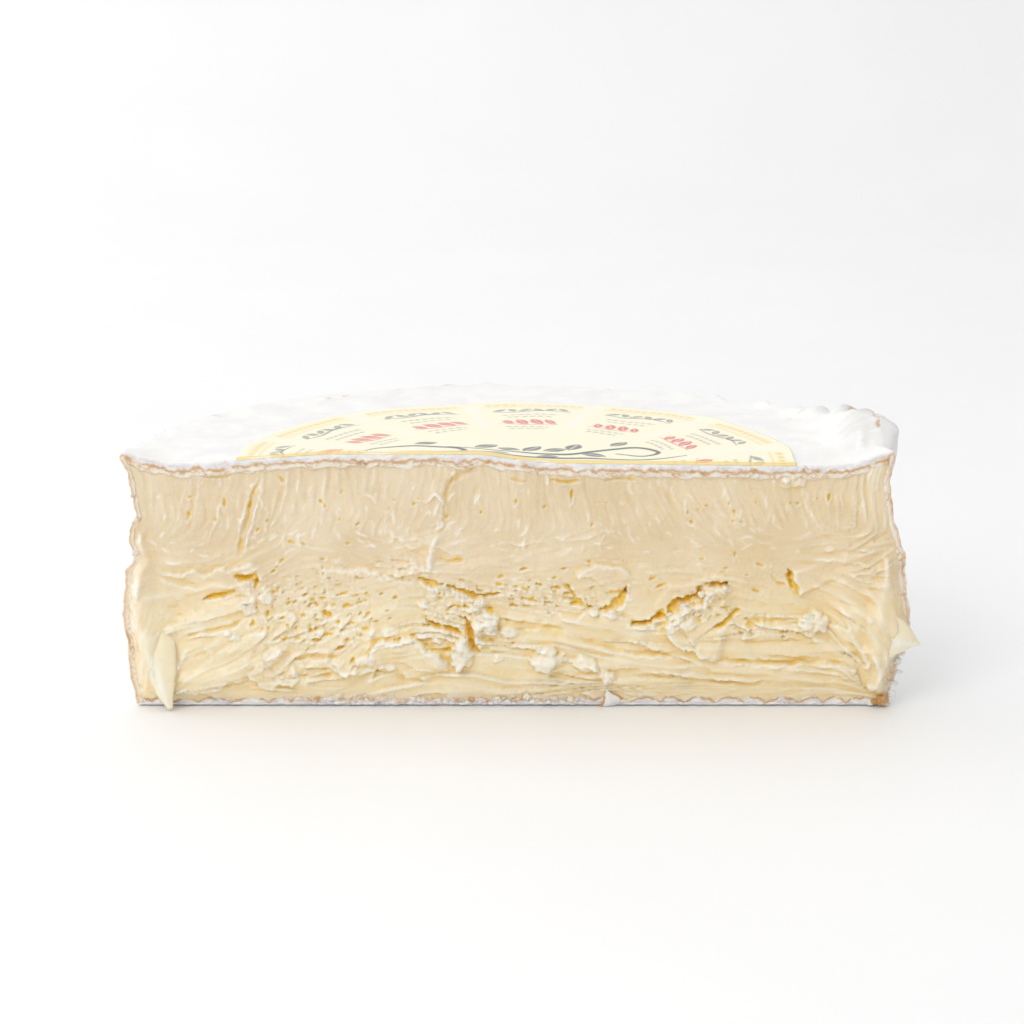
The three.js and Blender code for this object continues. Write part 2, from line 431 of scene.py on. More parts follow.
def ripened_paste():
    """Ripened cream-rich paste, torn and smeared by a knife: ivory and slightly translucent,
    painted golden shade where light sinks into a hole or crevice, and painted highlights,
    almost white, on thin lifted edges."""
    colours = bpy.context.scene.cheese_paste
    material, tree, shader, where = new_material("ripened_cream_paste", {
        "IOR": 1.45, "Subsurface Weight": 0.35, "Subsurface Radius": (1.0, 0.7, 0.3),
        "Subsurface Scale": 0.9 * MM})
    cloudy = patchy(tree, where, 14, 2, 0.35, 0.65)
    body = add(tree, "Mix", {FACTOR: cloudy, COLOUR_A: (*colours.ivory, 1),
                             COLOUR_B: (*colours.cream, 1)}, data_type="RGBA")
    # The white mark is pale crumbs and strokes together with painted highlights. The shade mark
    # and the golden mark are painted shade in hollows, crevices, holes and under lips, and the
    # shade mark also lays a warmer tint over the right. Glow and the dark brown mark are the
    # paste's own colours.
    for mark, colour in (("glow", colours.smear), ("white", colours.crest),
                         ("shade", colours.fold), ("amber", colours.amber),
                         ("burnt", colours.burnt)):
        amount = add(tree, "Attribute", attribute_name=mark)
        body = add(tree, "Mix", {FACTOR: amount.outputs["Fac"], COLOUR_A: body.outputs[MIXED],
                                 COLOUR_B: (*colour, 1)}, data_type="RGBA")
    tree.links.new(body.outputs[MIXED], shader.inputs["Base Color"])
    moist = patchy(tree, where, 3.5, 3, 0.3, 0.7, 0.22, 0.4)
    tree.links.new(moist, shader.inputs["Roughness"])
    fine_relief(tree, shader, where, 0.9, 4, 0.4, 0.25, 0.65)
    return material


def mould_bloom():
    """White mould bloom over a thin tan skin: felted and dead matt, lilac-grey where thin,
    tan where handling has worn it through."""
    colours = bpy.context.scene.cheese_rind
    material, tree, shader, where = new_material("white_mould_bloom", {
        "Roughness": 0.92, "Specular IOR Level": 0.25, "Sheen Weight": 0.25,
        "Sheen Roughness": 0.6, "Subsurface Weight": 0.15,
        "Subsurface Radius": (1.0, 0.9, 0.8), "Subsurface Scale": 0.6 * MM})
    thin = patchy(tree, where, 9, 3, 0.42, 0.75, most=0.55)
    body = add(tree, "Mix", {FACTOR: thin, COLOUR_A: (*colours.bloom, 1),
                             COLOUR_B: (*colours.lilac, 1)}, data_type="RGBA")
    rubbed = add(tree, "Attribute", attribute_name="worn")
    tufts = add(tree, "TexNoise", {"Vector": where, "Scale": per_mm(2.2), "Detail": 4,
                                   "Roughness": 0.6})
    worn = add(tree, "Math", {0: rubbed.outputs["Fac"], 1: tufts.outputs["Fac"]},
               operation="ADD")
    bare = add(tree, "MapRange", {"Value": worn.outputs["Value"], "From Min": 0.85,
                                  "From Max": 1.15})
    body = add(tree, "Mix", {FACTOR: bare.outputs["Result"], COLOUR_A: body.outputs[MIXED],
                             COLOUR_B: (*colours.skin, 1)}, data_type="RGBA")
    tree.links.new(body.outputs[MIXED], shader.inputs["Base Color"])
    fine_relief(tree, shader, where, 0.55, 5, 0.45, 0.3, 0.65)
    return material


def torn_rind():
    """The rind's torn edge on the cut: white felt with patches of lilac-grey painted shade,
    between tan skins.
    """
    material, tree, shader, where = new_material("torn_rind_edge", {
        "Roughness": 0.78, "Subsurface Weight": 0.2, "Subsurface Radius": (1.0, 0.7, 0.45),
        "Subsurface Scale": 0.5 * MM})
    paint = add(tree, "Attribute", attribute_name="paint")
    fibres = patchy(tree, where, 0.7, 4, 0.4, 0.7, most=0.25)
    white = (*bpy.context.scene.cheese_rind.bloom, 1)
    body = add(tree, "Mix", {FACTOR: fibres, COLOUR_A: paint.outputs["Color"],
                             COLOUR_B: white}, data_type="RGBA")
    tree.links.new(body.outputs[MIXED], shader.inputs["Base Color"])
    fine_relief(tree, shader, where, 0.5, 4, 0.5, 0.3, 0.65)
    return material


def label_paper():
    """Thin uncoated label paper, printed: soft matt cream with ink that sits in the fibres."""
    material, tree, shader, where = new_material("printed_label_paper", {"Roughness": 0.62})
    ink = add(tree, "Attribute", attribute_name="ink")
    fibres = patchy(tree, where, 1.2, 4, 0.35, 0.75, most=0.12)
    pale = (*bpy.context.scene.cheese_label.gap, 1)
    body = add(tree, "Mix", {FACTOR: fibres, COLOUR_A: ink.outputs["Color"],
                             COLOUR_B: pale}, data_type="RGBA")
    tree.links.new(body.outputs[MIXED], shader.inputs["Base Color"])
    fine_relief(tree, shader, where, 2.4, 3, 0.3, 0.2)
    return material


def pale_table():
    """A plain pale honed stone table top: matt, with the faintest clouds."""
    material, tree, shader, where = new_material("honed_pale_table", {"Roughness": 0.55})
    clouds = add(tree, "TexNoise", {"Vector": where, "Scale": per_mm(90), "Detail": 2})
    body = add(tree, "Mix", {FACTOR: clouds.outputs["Fac"], COLOUR_A: (*linear("#fcfcfc"), 1),
                             COLOUR_B: (*linear("#f7f7f7"), 1)}, data_type="RGBA")
    tree.links.new(body.outputs[MIXED], shader.inputs["Base Color"])
    return material


# --------------------------------------------------------------------- the cut face

# Which way the knife dragged the paste: (x, z, direction in degrees, how far it reaches).
DRAGS = [
    (-90, 56, 83, 12), (-74, 54, 76, 14), (-60, 52, 69, 14), (-40, 54, 78, 16), (-20, 56, 66, 9),
    (0, 52, 88, 14), (20, 52, 97, 14), (38, 52, 108, 14), (56, 53, 110, 14), (74, 55, 98, 12),
    (93, 56, 86, 10), (-84, 40, 6, 9), (-66, 41, 24, 9), (-42, 42, -14, 12), (-8, 44, 12, 10),
    (18, 44, 10, 12), (42, 42, -4, 12), (64, 41, -9, 12), (82, 42, 3, 10), (96, 41, 14, 7),
    (-97, 26, 86, 6), (-91, 14, 74, 6), (-78, 31, 4, 9), (-78, 19, 20, 9), (-62, 14, 34, 9),
    (-66, 5, 3, 8), (-50, 26, 32, 12), (-36, 30, 20, 9), (-39, 12, 62, 7), (-28, 14, 6, 8),
    (-50, 6, 2, 9), (-14, 29, -20, 9), (-6, 10, -10, 9), (8, 23, -3, 12), (15, 13, -14, 9),
    (10, 4, 2, 12), (30, 18, -12, 12), (26, 33, 15, 9), (47, 23, 38, 8), (52, 13, -5, 12),
    (50, 4, 2, 12), (66, 31, -14, 10), (74, 12, -2, 14), (74, 22, 0, 8), (84, 31, -30, 9),
    (89, 21, -50, 8), (95, 11, -80, 6), (84, 4, -8, 7), (100, 26, 96, 6),
]

# Grooves: curve of (x, z), half width, depth, how strong the painted golden shade inside is,
# and the lip on its left (+) or right (-) side.
GROOVES = [
    # upper part: strokes that the knife drew down through the firm paste
    ([(-62.2, 62.6), (-64.9, 58), (-66.9, 51), (-68.6, 45), (-69.7, 39.5)], 0.42, 0.8, 0.3, -0.3),
    ([(-66, 55.4), (-66.6, 53)], 0.4, 0.9, 0.9, 0.1),
    ([(-67.6, 49), (-68.2, 46.4)], 0.35, 0.8, 0.8, 0.1),
    ([(-79.5, 61), (-81.5, 52), (-83, 44)], 0.5, 0.5, 0.1, 0.2),
    ([(-57, 60), (-59.6, 53), (-62.4, 46)], 0.5, 0.4, 0.1, 0.2),
    ([(-7, 64), (-12.4, 62), (-15.4, 59), (-16.6, 55)], 0.6, 0.7, 0.1, 0.15),
    ([(-7, 61), (-9, 55), (-9.5, 48)], 0.6, 0.4, 0.1, 0.2),
    ([(39, 61), (43, 54), (46, 48)], 0.6, 0.4, 0.1, 0.15),
    ([(-79.4, 62.2), (-74.6, 61.6), (-70, 62.4)], 0.3, 0.8, 0.5, -0.3),
    ([(0.6, 61.4), (3, 60.6), (5.6, 61)], 0.3, 0.8, 0.5, -0.4),
    ([(10, 61), (15, 60.4), (20, 61)], 0.3, 0.8, 0.55, -0.5),
    ([(24, 60.8), (29, 61.4), (34, 61)], 0.35, 0.8, 0.5, -0.3),
    # middle: tears along the softened layer
    ([(-18, 40.5), (-15, 39.6), (-11, 39.9)], 0.4, 0.9, 0.7, -0.3),
    ([(-21, 23.8), (-17.5, 22.4), (-14, 21.6), (-11, 19.8)], 0.6, 1.6, 0.8, -0.4),
    ([(-10.6, 24.4), (-9.6, 21), (-9.8, 18), (-7.4, 15.4)], 0.8, 2.2, 0.95, 0.4),
    ([(26, 31.4), (29, 31.5), (31.4, 31.2)], 0.5, 1.1, 0.95, -0.2),
    ([(53.2, 22.4), (56, 23.4), (58, 25.2), (61.4, 27.4)], 0.45, 1.1, 0.75, -0.3),
    ([(62.6, 23.2), (65, 24), (70, 23.6), (76, 22.6)], 0.8, 0.9, 0.3, -0.3),
    ([(68.4, 36.4), (69.4, 34.4), (72.6, 33)], 0.45, 0.9, 0.6, -0.2),
    ([(72.9, 37.2), (74, 33.6), (75.8, 30.2)], 0.7, 1.6, 0.85, 0.3),
    ([(-84, 19.6), (-78, 21.2), (-72, 22.6), (-67.6, 24.8)], 0.45, 1.1, 0.35, -0.5),
    ([(-91.6, 36.6), (-86, 34.6), (-80, 33.6), (-72, 35)], 0.6, 0.8, 0.15, -0.3),
    ([(-79, 29.6), (-75.6, 30.6), (-71.6, 31.4)], 0.5, 1.2, 0.7, -0.3),
    ([(-71, 36.4), (-68, 35.4), (-65.4, 36), (-65, 33)], 0.7, 1.7, 0.9, -0.4),
    ([(-56, 13.4), (-50, 14), (-43.4, 14)], 0.4, 0.9, 0.3, -0.7),
    ([(-53, 10.6), (-49, 11), (-46, 10.7)], 0.4, 0.8, 0.6, 0.5),
    ([(-81.6, 14.2), (-79.6, 15.1), (-78.2, 15.8)], 0.6, 1.3, 0.9, -0.3),
    # lower part: long smears
    ([(17, 19.6), (22, 18), (29, 16.2), (38, 15), (49, 15.3)], 0.6, 1.1, 0.3, -0.6),
    ([(48, 15.9), (55, 13.9), (62, 13), (72, 12.6), (82, 13.2), (90, 13.2)],
     0.5, 1.3, 0.3, -0.8),
    ([(66, 14.6), (76, 13.9), (89, 14.4)], 0.4, 0.6, 0.3, 0.3),
    ([(31, 9.2), (44, 8.4), (57, 7.2), (64, 6.6), (72, 8)], 0.6, 1.0, 0.2, 0.6),
    ([(-8, 22), (2, 22.2), (10, 21.6), (18, 21)], 1.1, 0.9, 0.25, 0.3),
    ([(-30, 9), (-26, 8.2), (-20, 8), (-14, 9)], 0.9, 0.9, 0.25, 0.3),
    ([(60, 18.5), (66, 17.8), (73, 18.4), (84, 17.6)], 0.5, 0.6, 0.2, 0.3),
    ([(4, 11), (16, 9.6), (28, 10.4), (40, 10.2)], 0.6, 0.7, 0.15, 0.4),
    ([(-54, 8.8), (-50, 8.6), (-45, 9)], 0.5, 0.9, 0.3, 0.3),
]

# Tears: curve, half width at even places along it, depth, and how high the torn lip below.
TEARS = [
    ([(-22.6, 35), (-19.5, 33.8), (-15.6, 33.2), (-11.6, 31.6), (-7.4, 30.2), (-2, 30.8)],
     [0.4, 1.0, 0.5, 0.9, 0.6, 0.3], 2.0, 0.9),
    ([(15.6, 33.4), (17.2, 30.6), (19.4, 28.4), (22.6, 27)], [0.3, 0.5, 0.7, 0.4], 1.5, 0.6),
    ([(24.2, 27), (27.4, 27.8), (29.8, 29.4), (31, 32.4)], [0.3, 1.1, 0.9, 0.25], 1.8, 0.8),
    ([(32.6, 23), (37, 24), (41.4, 25.6), (44.2, 28.2), (48.4, 29.8), (52.2, 33), (56.8, 33.9)],
     [0.4, 0.8, 0.9, 1.6, 1.2, 0.8, 0.3], 2.5, 1.3),
    ([(-10.8, 24.6), (-9.6, 21.4), (-9.6, 18), (-7.2, 15.6)], [0.4, 0.8, 0.9, 0.3], 1.8, -0.5),
    ([(-21, 23.8), (-17.5, 22.4), (-14, 21.4), (-11, 19.6)], [0.3, 0.6, 0.7, 0.3], 1.5, 0.5),
    ([(72.9, 37.4), (73.9, 34.4), (75.8, 30.4)], [0.5, 0.8, 0.2], 1.4, 0.2),
    ([(-79.6, 29.4), (-75.6, 30.4), (-70.8, 31.6)], [0.2, 0.5, 0.6], 1.0, 0.3),
    ([(-70.6, 35.8), (-67.6, 35.4), (-65.2, 34.6), (-65.2, 32.6)], [0.5, 0.8, 0.9, 0.3], 1.4, 0.4),
    ([(54, 22.6), (56.6, 23.8), (59.6, 26.4)], [0.4, 0.7, 0.3], 1.1, 0.3),
    ([(62.6, 24.2), (63.2, 22.8), (65.4, 22.6)], [0.3, 0.8, 0.3], 0.9, 0.4),
]
# Where a tear is darker, almost brown: (x, z, half width, half height).
DARK_TEAR_SPOTS = [(56.2, 33.8, 1.4, 0.5), (44.4, 29.4, 0.8, 0.5), (53.6, 34, 0.8, 0.4),
            (-3.4, 31.6, 0.6, 0.4), (30.8, 31.6, 0.5, 0.6), (-20.6, 34.6, 0.6, 0.3)]

# Ridges that catch the light: curve, half width, rise and how white the painted highlight on
# its crest is.
RIDGES = [
    ([(-17.6, 48), (-18.6, 44), (-20, 40), (-20.4, 35.6)], 1.1, 2.0, 1.0),
    ([(-24.4, 57), (-21, 55), (-18.6, 57.6), (-16.4, 54.6), (-15.4, 51)], 0.5, 0.8, 0.9),
    ([(-15.4, 51), (-17, 48.6), (-19.6, 47.6), (-22.6, 46.6), (-25.4, 47.6)], 0.5, 0.8, 0.9),
    ([(-30, 46.6), (-26.6, 44.8), (-23, 45.6), (-20, 43.4)], 0.45, 0.5, 0.7),
    ([(-60.9, 61.8), (-63.6, 57), (-65.4, 51), (-67, 45), (-68.4, 40)], 0.4, 0.6, 0.8),
    ([(-64, 62), (-66.6, 57), (-68.4, 51), (-70, 44)], 0.35, 0.5, 0.7),
    ([(-73, 57), (-75.4, 50), (-77.4, 42.6)], 0.4, 0.4, 0.5),
    ([(-82.8, 60), (-84.8, 52), (-86.4, 45)], 0.5, 0.4, 0.3),
    ([(-2, 44.4), (4, 43.8), (9, 44.6), (14, 42.8)], 0.4, 0.5, 0.6),
    ([(10, 46.6), (15, 44.6), (20, 45.4), (26, 47.2), (31, 47)], 0.4, 0.5, 0.6),
    ([(17, 47), (20, 44), (18.4, 40.6)], 0.4, 0.4, 0.5),
    ([(22, 51), (25, 47.4), (24, 43), (25.6, 40.4)], 0.4, 0.35, 0.5),
    ([(-94, 38.6), (-97, 31), (-97.4, 23), (-95, 14)], 1.3, 1.5, 0.5),
    ([(-86.6, 23), (-86.8, 17), (-86.6, 11)], 0.5, 0.4, 0.7),
    ([(-95, 24), (-93.4, 18), (-92.4, 13), (-91.6, 9)], 1.7, 0.4, 0.6),
    ([(-84.6, 11), (-83.4, 15.6), (-79.6, 17.4), (-76.8, 15), (-77.6, 11.4)], 0.7, 0.9, 0.7),
    ([(-82, 23.6), (-76, 25), (-70, 27), (-66, 28.6)], 0.7, 0.7, 0.5),
    ([(-60, 27), (-66, 31.6), (-68.4, 33.6)], 0.8, 0.7, 0.5),
    ([(-47.6, 17), (-46, 12), (-41, 9.6), (-35.4, 11)], 0.9, 1.5, 0.8),
    ([(-37.4, 12.6), (-36.4, 17), (-34.2, 23.4)], 0.8, 1.2, 0.8),
    ([(-43, 16.6), (-41.4, 20), (-39, 16)], 0.6, 0.8, 0.7),
    ([(-62, 9.4), (-58, 10.6), (-56, 13.6), (-52, 15.4), (-44, 15.4)], 0.5, 0.9, 0.6),
    ([(65, 11.8), (76.6, 10.8), (88, 9), (92.6, 5.8)], 0.6, 1.2, 0.9),
    ([(30, 10.6), (44, 9.8), (57, 8.6), (66, 7.6)], 0.5, 0.7, 0.6),
    ([(0, 8), (14, 7), (24, 8)], 0.6, 0.7, 0.4),
    ([(-26, 12), (-16, 9.6), (-8, 9)], 0.6, 0.8, 0.5),
    ([(92, 18.6), (95, 14.6), (96.6, 10), (95.8, 5)], 1.1, 1.9, 0.8),
    ([(85.6, 19.6), (90, 18.6), (92.6, 15), (93.4, 9)], 0.7, 1.1, 0.6),
    ([(98.4, 17), (99, 12), (98.4, 7)], 0.7, 1.0, 0.4),
    ([(92.6, 64), (94, 55), (94.6, 46)], 0.8, 0.7, 0.3),
    ([(96.6, 63), (97.4, 54), (97.6, 46)], 0.7, 0.7, 0.4),
    ([(80, 41.8), (88, 43), (97, 41.4)], 0.5, 0.9, 0.7),
    ([(76, 39.4), (86, 39.8), (97, 38)], 0.6, 0.8, 0.5),
    ([(80, 35.6), (89, 33.6), (97, 28)], 0.8, 0.9, 0.5),
    ([(82, 30), (88, 26.4), (93, 20.6)], 0.7, 1.0, 0.5),
    ([(86, 36.8), (92, 35), (98.6, 33.6)], 0.5, 0.6, 0.5),
]

# Swells: soft folds of runny paste, without an edge: curve, half widths along it, rise.
SWELLS = [
    ([(-95, 46), (-95, 35), (-93.2, 25), (-92.2, 17), (-91, 12), (-89.4, 6)],
     [0.8, 3.4, 5.0, 4.8, 4.0, 2.4], 2.3),
    ([(-88, 21.6), (-80, 24.8), (-72, 27.6), (-66, 30)], [1.0, 2.2, 2.2, 0.8], 1.3),
    ([(-92, 31), (-84, 31.6), (-76, 33.4), (-70, 33)], [2.0, 2.0, 1.6, 0.6], 1.0),
    ([(-84, 8), (-75, 9.4), (-65, 12), (-58, 16.4)], [1.6, 3.0, 3.0, 1.0], 1.4),
    ([(-72, 16), (-66, 18), (-61, 22)], [1.0, 2.0, 0.8], 1.0),
    ([(-54, 11.8), (-48, 12), (-43, 12.2)], [0.8, 1.3, 0.6], 0.8),
    ([(-34, 20), (-28, 17.4), (-21, 14), (-16, 11)], [1.4, 3.0, 2.6, 1.0], 1.3),
    ([(14, 24.6), (26, 22.6), (38, 20.6), (48, 18.6)], [0.8, 2.2, 2.2, 0.8], 1.1),
    ([(50, 17.4), (64, 16.2), (78, 16), (90, 16.6)], [0.8, 1.6, 1.6, 0.8], 0.9),
    ([(54, 10.6), (68, 9.8), (82, 7.4)], [0.8, 1.6, 0.8], 0.9),
    ([(20, 12), (34, 12.8), (46, 11.6)], [0.8, 1.8, 0.8], 0.9),
    ([(98, 40), (97.4, 30), (95.8, 21), (96.6, 13), (95.4, 6)], [0.8, 2.2, 2.8, 2.6, 1.6], 1.7),
    ([(86, 27.4), (94, 25.6), (101, 22.4)], [0.8, 2.6, 2.6], 1.5),
    ([(80, 33), (88, 30), (94, 25)], [0.8, 1.8, 0.8], 0.9),
]

# Slabs: a smear lies over what is on the left of the curve (right if the rise is negative):
# curve, how far it stands proud, how far it reaches before it has sunk back, how white the painted
# highlight on its edge is.
SLABS = [
    ([(-37, 12), (-33.6, 18.2), (-29, 19.6), (-24, 18.8), (-19, 15.6), (-15.4, 11)], -2.6, 9, 0.9),
    ([(41.4, 24.4), (42.4, 19.8), (46, 16.6), (50.5, 14.8), (56, 13.4)], 2.3, 8, 1.0),
    ([(57.6, 33.2), (52.8, 32.4), (50.8, 29.2), (47, 26.9), (43, 26.2), (41.2, 23.6)],
     2.2, 7, 1.0),
    ([(19.4, 33.6), (18.4, 36), (22, 38), (29, 37.6), (33, 35)], -0.9, 8, 0.4),
    ([(12, 24.4), (22, 25.6), (30, 24.6), (38, 22)], -1.0, 8, 0.3),
    ([(73.2, 37.4), (74.4, 33.6), (76, 30.2)], 1.8, 8, 0.1),
    ([(-69, 9), (-62, 5.8), (-56, 6.4), (-53.8, 9), (-57, 12)], 1.2, 7, 0.8),
    ([(-88, 5), (-80, 4), (-76, 5), (-72, 8), (-68, 7)], 1.0, 7, 0.8),
    ([(-46, 13), (-42, 9), (-36, 10.4), (-31, 12)], 1.2, 6, 0.5),
    ([(-12.4, 64), (-15.2, 58), (-16.6, 53), (-16, 48)], -0.9, 12, 0.3),
    ([(-31, 45.6), (-24, 43.4), (-14, 42), (-10, 40)], 0.5, 9, 0.4),
    ([(-91, 37.4), (-80, 36.6), (-71, 38), (-63, 39.4)], -1.0, 9, 0.3),
    ([(37, 26), (45, 34), (58, 35.6), (66, 34)], -0.5, 9, 0.1),
    ([(-50, 36.4), (-40, 37.6), (-28, 34.4), (-22, 33)], -0.7, 9, 0.4),
]

# Eyes: (x, z, half length, half width, lean in degrees, depth).
EYES = [
    (-81.6, 56.5, 0.9, 0.4, 10, 1), (-82.2, 51.8, 1.4, 0.4, 80, 1.2),
    (-72.8, 55, 1.3, 0.4, 88, 1.2), (-75.2, 50.5, 0.6, 0.4, 70, 1),
    (-58, 61.2, 1.1, 0.5, 120, 1.3), (-64.4, 47.8, 0.7, 0.4, 60, 1),
    (-61.8, 50.2, 0.6, 0.35, 70, 1), (-48, 55.3, 0.8, 0.4, 130, 1.2), (-47, 54.2, 0.7, 0.4, 90, 1),
    (-42.7, 57.6, 0.5, 0.3, 60, 0.7), (-43.3, 50.4, 0.5, 0.35, 60, 1),
    (-38.6, 49.3, 0.6, 0.35, 40, 1), (-29, 55.6, 0.5, 0.4, 0, 1), (-30.5, 53.4, 0.7, 0.3, 60, 1),
    (-24, 54.6, 0.6, 0.4, 30, 1), (-22.8, 56.2, 0.5, 0.35, 20, 1), (-15.5, 51.2, 0.6, 0.4, 60, 1),
    (-6.7, 52.4, 0.5, 0.3, 60, 1), (2.3, 55.2, 0.8, 0.4, 70, 1), (9.6, 53.8, 0.6, 0.4, 60, 1),
    (16.6, 56.9, 1.7, 0.45, 88, 1.8), (22, 49, 0.6, 0.35, 80, 1), (23.8, 55.1, 0.5, 0.3, 40, 0.8),
    (25.6, 54.9, 0.5, 0.25, 10, 0.8), (31.3, 55.2, 0.6, 0.25, 0, 0.6),
    (46.6, 52.2, 0.6, 0.4, 100, 1), (47.6, 49.6, 0.6, 0.5, 110, 1.2),
    (49.2, 53, 0.6, 0.3, 40, 0.8), (51.5, 54.1, 0.6, 0.3, 20, 0.8), (57.2, 54.6, 0.6, 0.4, 60, 1),
    (58.6, 52.2, 0.9, 0.4, 100, 1.2), (60.6, 49.8, 0.7, 0.5, 120, 1),
    (58.4, 50, 0.6, 0.4, 60, 0.9), (64.2, 54.8, 0.4, 0.3, 60, 0.7),
    (82.9, 56.4, 1.2, 0.4, 85, 1.4), (80, 56, 0.6, 0.35, 0, 1), (75, 54.6, 0.5, 0.4, 30, 0.9),
    (73, 54.8, 0.4, 0.3, 30, 0.7), (-55.7, 44.4, 1.4, 0.35, -20, 0.9),
    (-52.6, 43.8, 0.8, 0.35, 150, 0.9), (-41.2, 44.2, 0.7, 0.4, 0, 1),
    (-58.3, 39.6, 0.9, 0.4, 40, 1.2), (-59.6, 38, 0.6, 0.3, 30, 1), (-60.5, 37, 0.7, 0.4, 30, 1.2),
    (-47.8, 40, 0.7, 0.35, 0, 1), (-47.7, 38, 0.6, 0.35, 90, 1), (-47.5, 36.4, 0.7, 0.4, 90, 1),
    (-54.6, 33.3, 0.7, 0.4, 60, 1), (-51.9, 30.6, 0.9, 0.4, 20, 1.3),
    (-50.6, 29.2, 0.7, 0.4, 30, 1.2), (-56.9, 28.3, 0.8, 0.5, 10, 1.3),
    (-49.4, 27.9, 0.9, 0.5, 130, 1.3), (-47.9, 29.7, 1.1, 0.4, 0, 1.2),
    (-47.3, 31.2, 0.6, 0.3, 0, 1), (-45.1, 27.9, 0.8, 0.4, 20, 1.1),
    (-47, 25.6, 1.6, 0.9, -30, 1.8), (-49.6, 23.9, 0.7, 0.6, 60, 1.3),
    (-51.2, 21.4, 1.3, 0.7, 95, 1.6), (-58.2, 24.6, 0.9, 0.5, 20, 1.2),
    (-57, 22.4, 0.8, 0.5, 100, 1.1), (-57.6, 19.1, 1.2, 0.6, 15, 1.5),
    (-54.5, 19.2, 0.9, 0.6, 10, 1.3), (-49.8, 18.8, 1.9, 0.6, 2, 1.7),
    (-46.6, 20.2, 2.2, 0.45, 12, 1.3), (-41.9, 18.8, 1.0, 0.8, 10, 1.2),
    (-43.5, 16.6, 1.9, 0.5, 18, 1.6), (-41.6, 27.6, 1.4, 0.6, 12, 1.5),
    (-37.8, 28.8, 2.3, 0.35, 18, 1.1), (-36, 25.6, 1.4, 0.5, 30, 1.3),
    (-40.8, 23.2, 1.5, 0.5, 10, 1.1), (-43.8, 23.4, 0.8, 0.6, 20, 1.2),
    (-37.2, 21.8, 1.6, 0.6, -10, 1.4), (-38, 20, 0.8, 0.5, 0, 1.2),
    (-40.2, 13.2, 1.2, 0.6, 60, 1.6), (-43, 30.8, 2.2, 0.4, 15, 1.3),
    (-62.2, 25.4, 1.5, 0.5, 95, 1.5), (-66, 23.4, 1.2, 0.7, 70, 1.3),
    (-62, 21.8, 0.9, 0.5, 80, 1.2), (-60.4, 31.4, 0.5, 0.4, 0, 1), (-53, 25, 0.6, 0.5, 0, 1),
    (-55, 21.6, 0.6, 0.4, 0, 1), (-32.4, 31, 0.9, 0.4, 20, 1.3), (-29, 30, 0.9, 0.4, 10, 1.3),
    (-31, 26.5, 0.8, 0.4, 20, 1.2), (-30.4, 24.4, 0.8, 0.4, 25, 1.2),
    (-34, 23.6, 1.3, 0.35, 10, 1.1), (-36.6, 31.2, 0.7, 0.3, 10, 0.9),
    (4.7, 37.6, 1.3, 0.45, 15, 1.4), (-1.6, 35.4, 0.9, 0.4, 20, 1.1), (-2, 33.4, 1.0, 0.6, 0, 1.3),
    (2.2, 32.8, 0.9, 0.5, 0, 1.2), (4.6, 32.2, 1.2, 0.5, -30, 1.2),
    (8.2, 33.4, 1.1, 0.45, -20, 1.2), (12.2, 35.2, 0.8, 0.4, 10, 1), (12.4, 31.6, 0.8, 0.4, 0, 1),
    (6.6, 29.1, 1.6, 0.6, -15, 1.5), (14.6, 37.5, 0.9, 0.4, 0, 1.2),
    (15.6, 32.9, 1.2, 0.6, -40, 1.4), (15.9, 31.1, 1.3, 0.5, 0, 1.4),
    (16.2, 29.6, 1.1, 0.4, 0, 1.3), (17.6, 28.3, 1.7, 0.7, -10, 1.7), (10.6, 28.6, 0.9, 0.4, 0, 1),
    (21.3, 39.2, 0.6, 0.5, 0, 1), (30.1, 39.5, 0.4, 0.3, 0, 0.8), (33.8, 23.3, 1.6, 0.8, 10, 1.6),
    (36.4, 23.6, 1.6, 0.7, 20, 1.4), (39.9, 25.4, 1.9, 1.2, 35, 1.8),
    (37.6, 34.8, 1.0, 0.4, 15, 1.2), (39.8, 32.9, 1.6, 0.5, 25, 1.3),
    (50.5, 40.2, 0.8, 0.3, 10, 0.8), (56.6, 37.9, 0.9, 0.35, 0, 1), (55.6, 36.8, 0.8, 0.3, 0, 0.9),
    (59, 41.2, 0.9, 0.35, 80, 1.1), (65.3, 38.8, 1.2, 0.45, -20, 1.2),
    (-15.6, 16.3, 1.6, 1.0, 0, 2.2), (-33.8, 10.2, 1.4, 0.5, 5, 1.3), (57, 27, 0.8, 0.35, -30, 1),
    (-12.2, 27.2, 1.0, 0.4, -20, 1.1), (-15.4, 26.4, 0.8, 0.4, -20, 1),
    (-4.4, 26.6, 1.2, 0.5, -40, 1.2), (-17.6, 29.6, 0.9, 0.35, -10, 1),
    (1.4, 27.6, 1.0, 0.4, -10, 1), (0, 23.8, 1.0, 0.4, -20, 1), (62, 36.2, 0.5, 0.3, 0, 0.8),
    (64.6, 31.6, 1.2, 0.4, -25, 1), (49.8, 24.2, 0.8, 0.35, 20, 0.9),
]

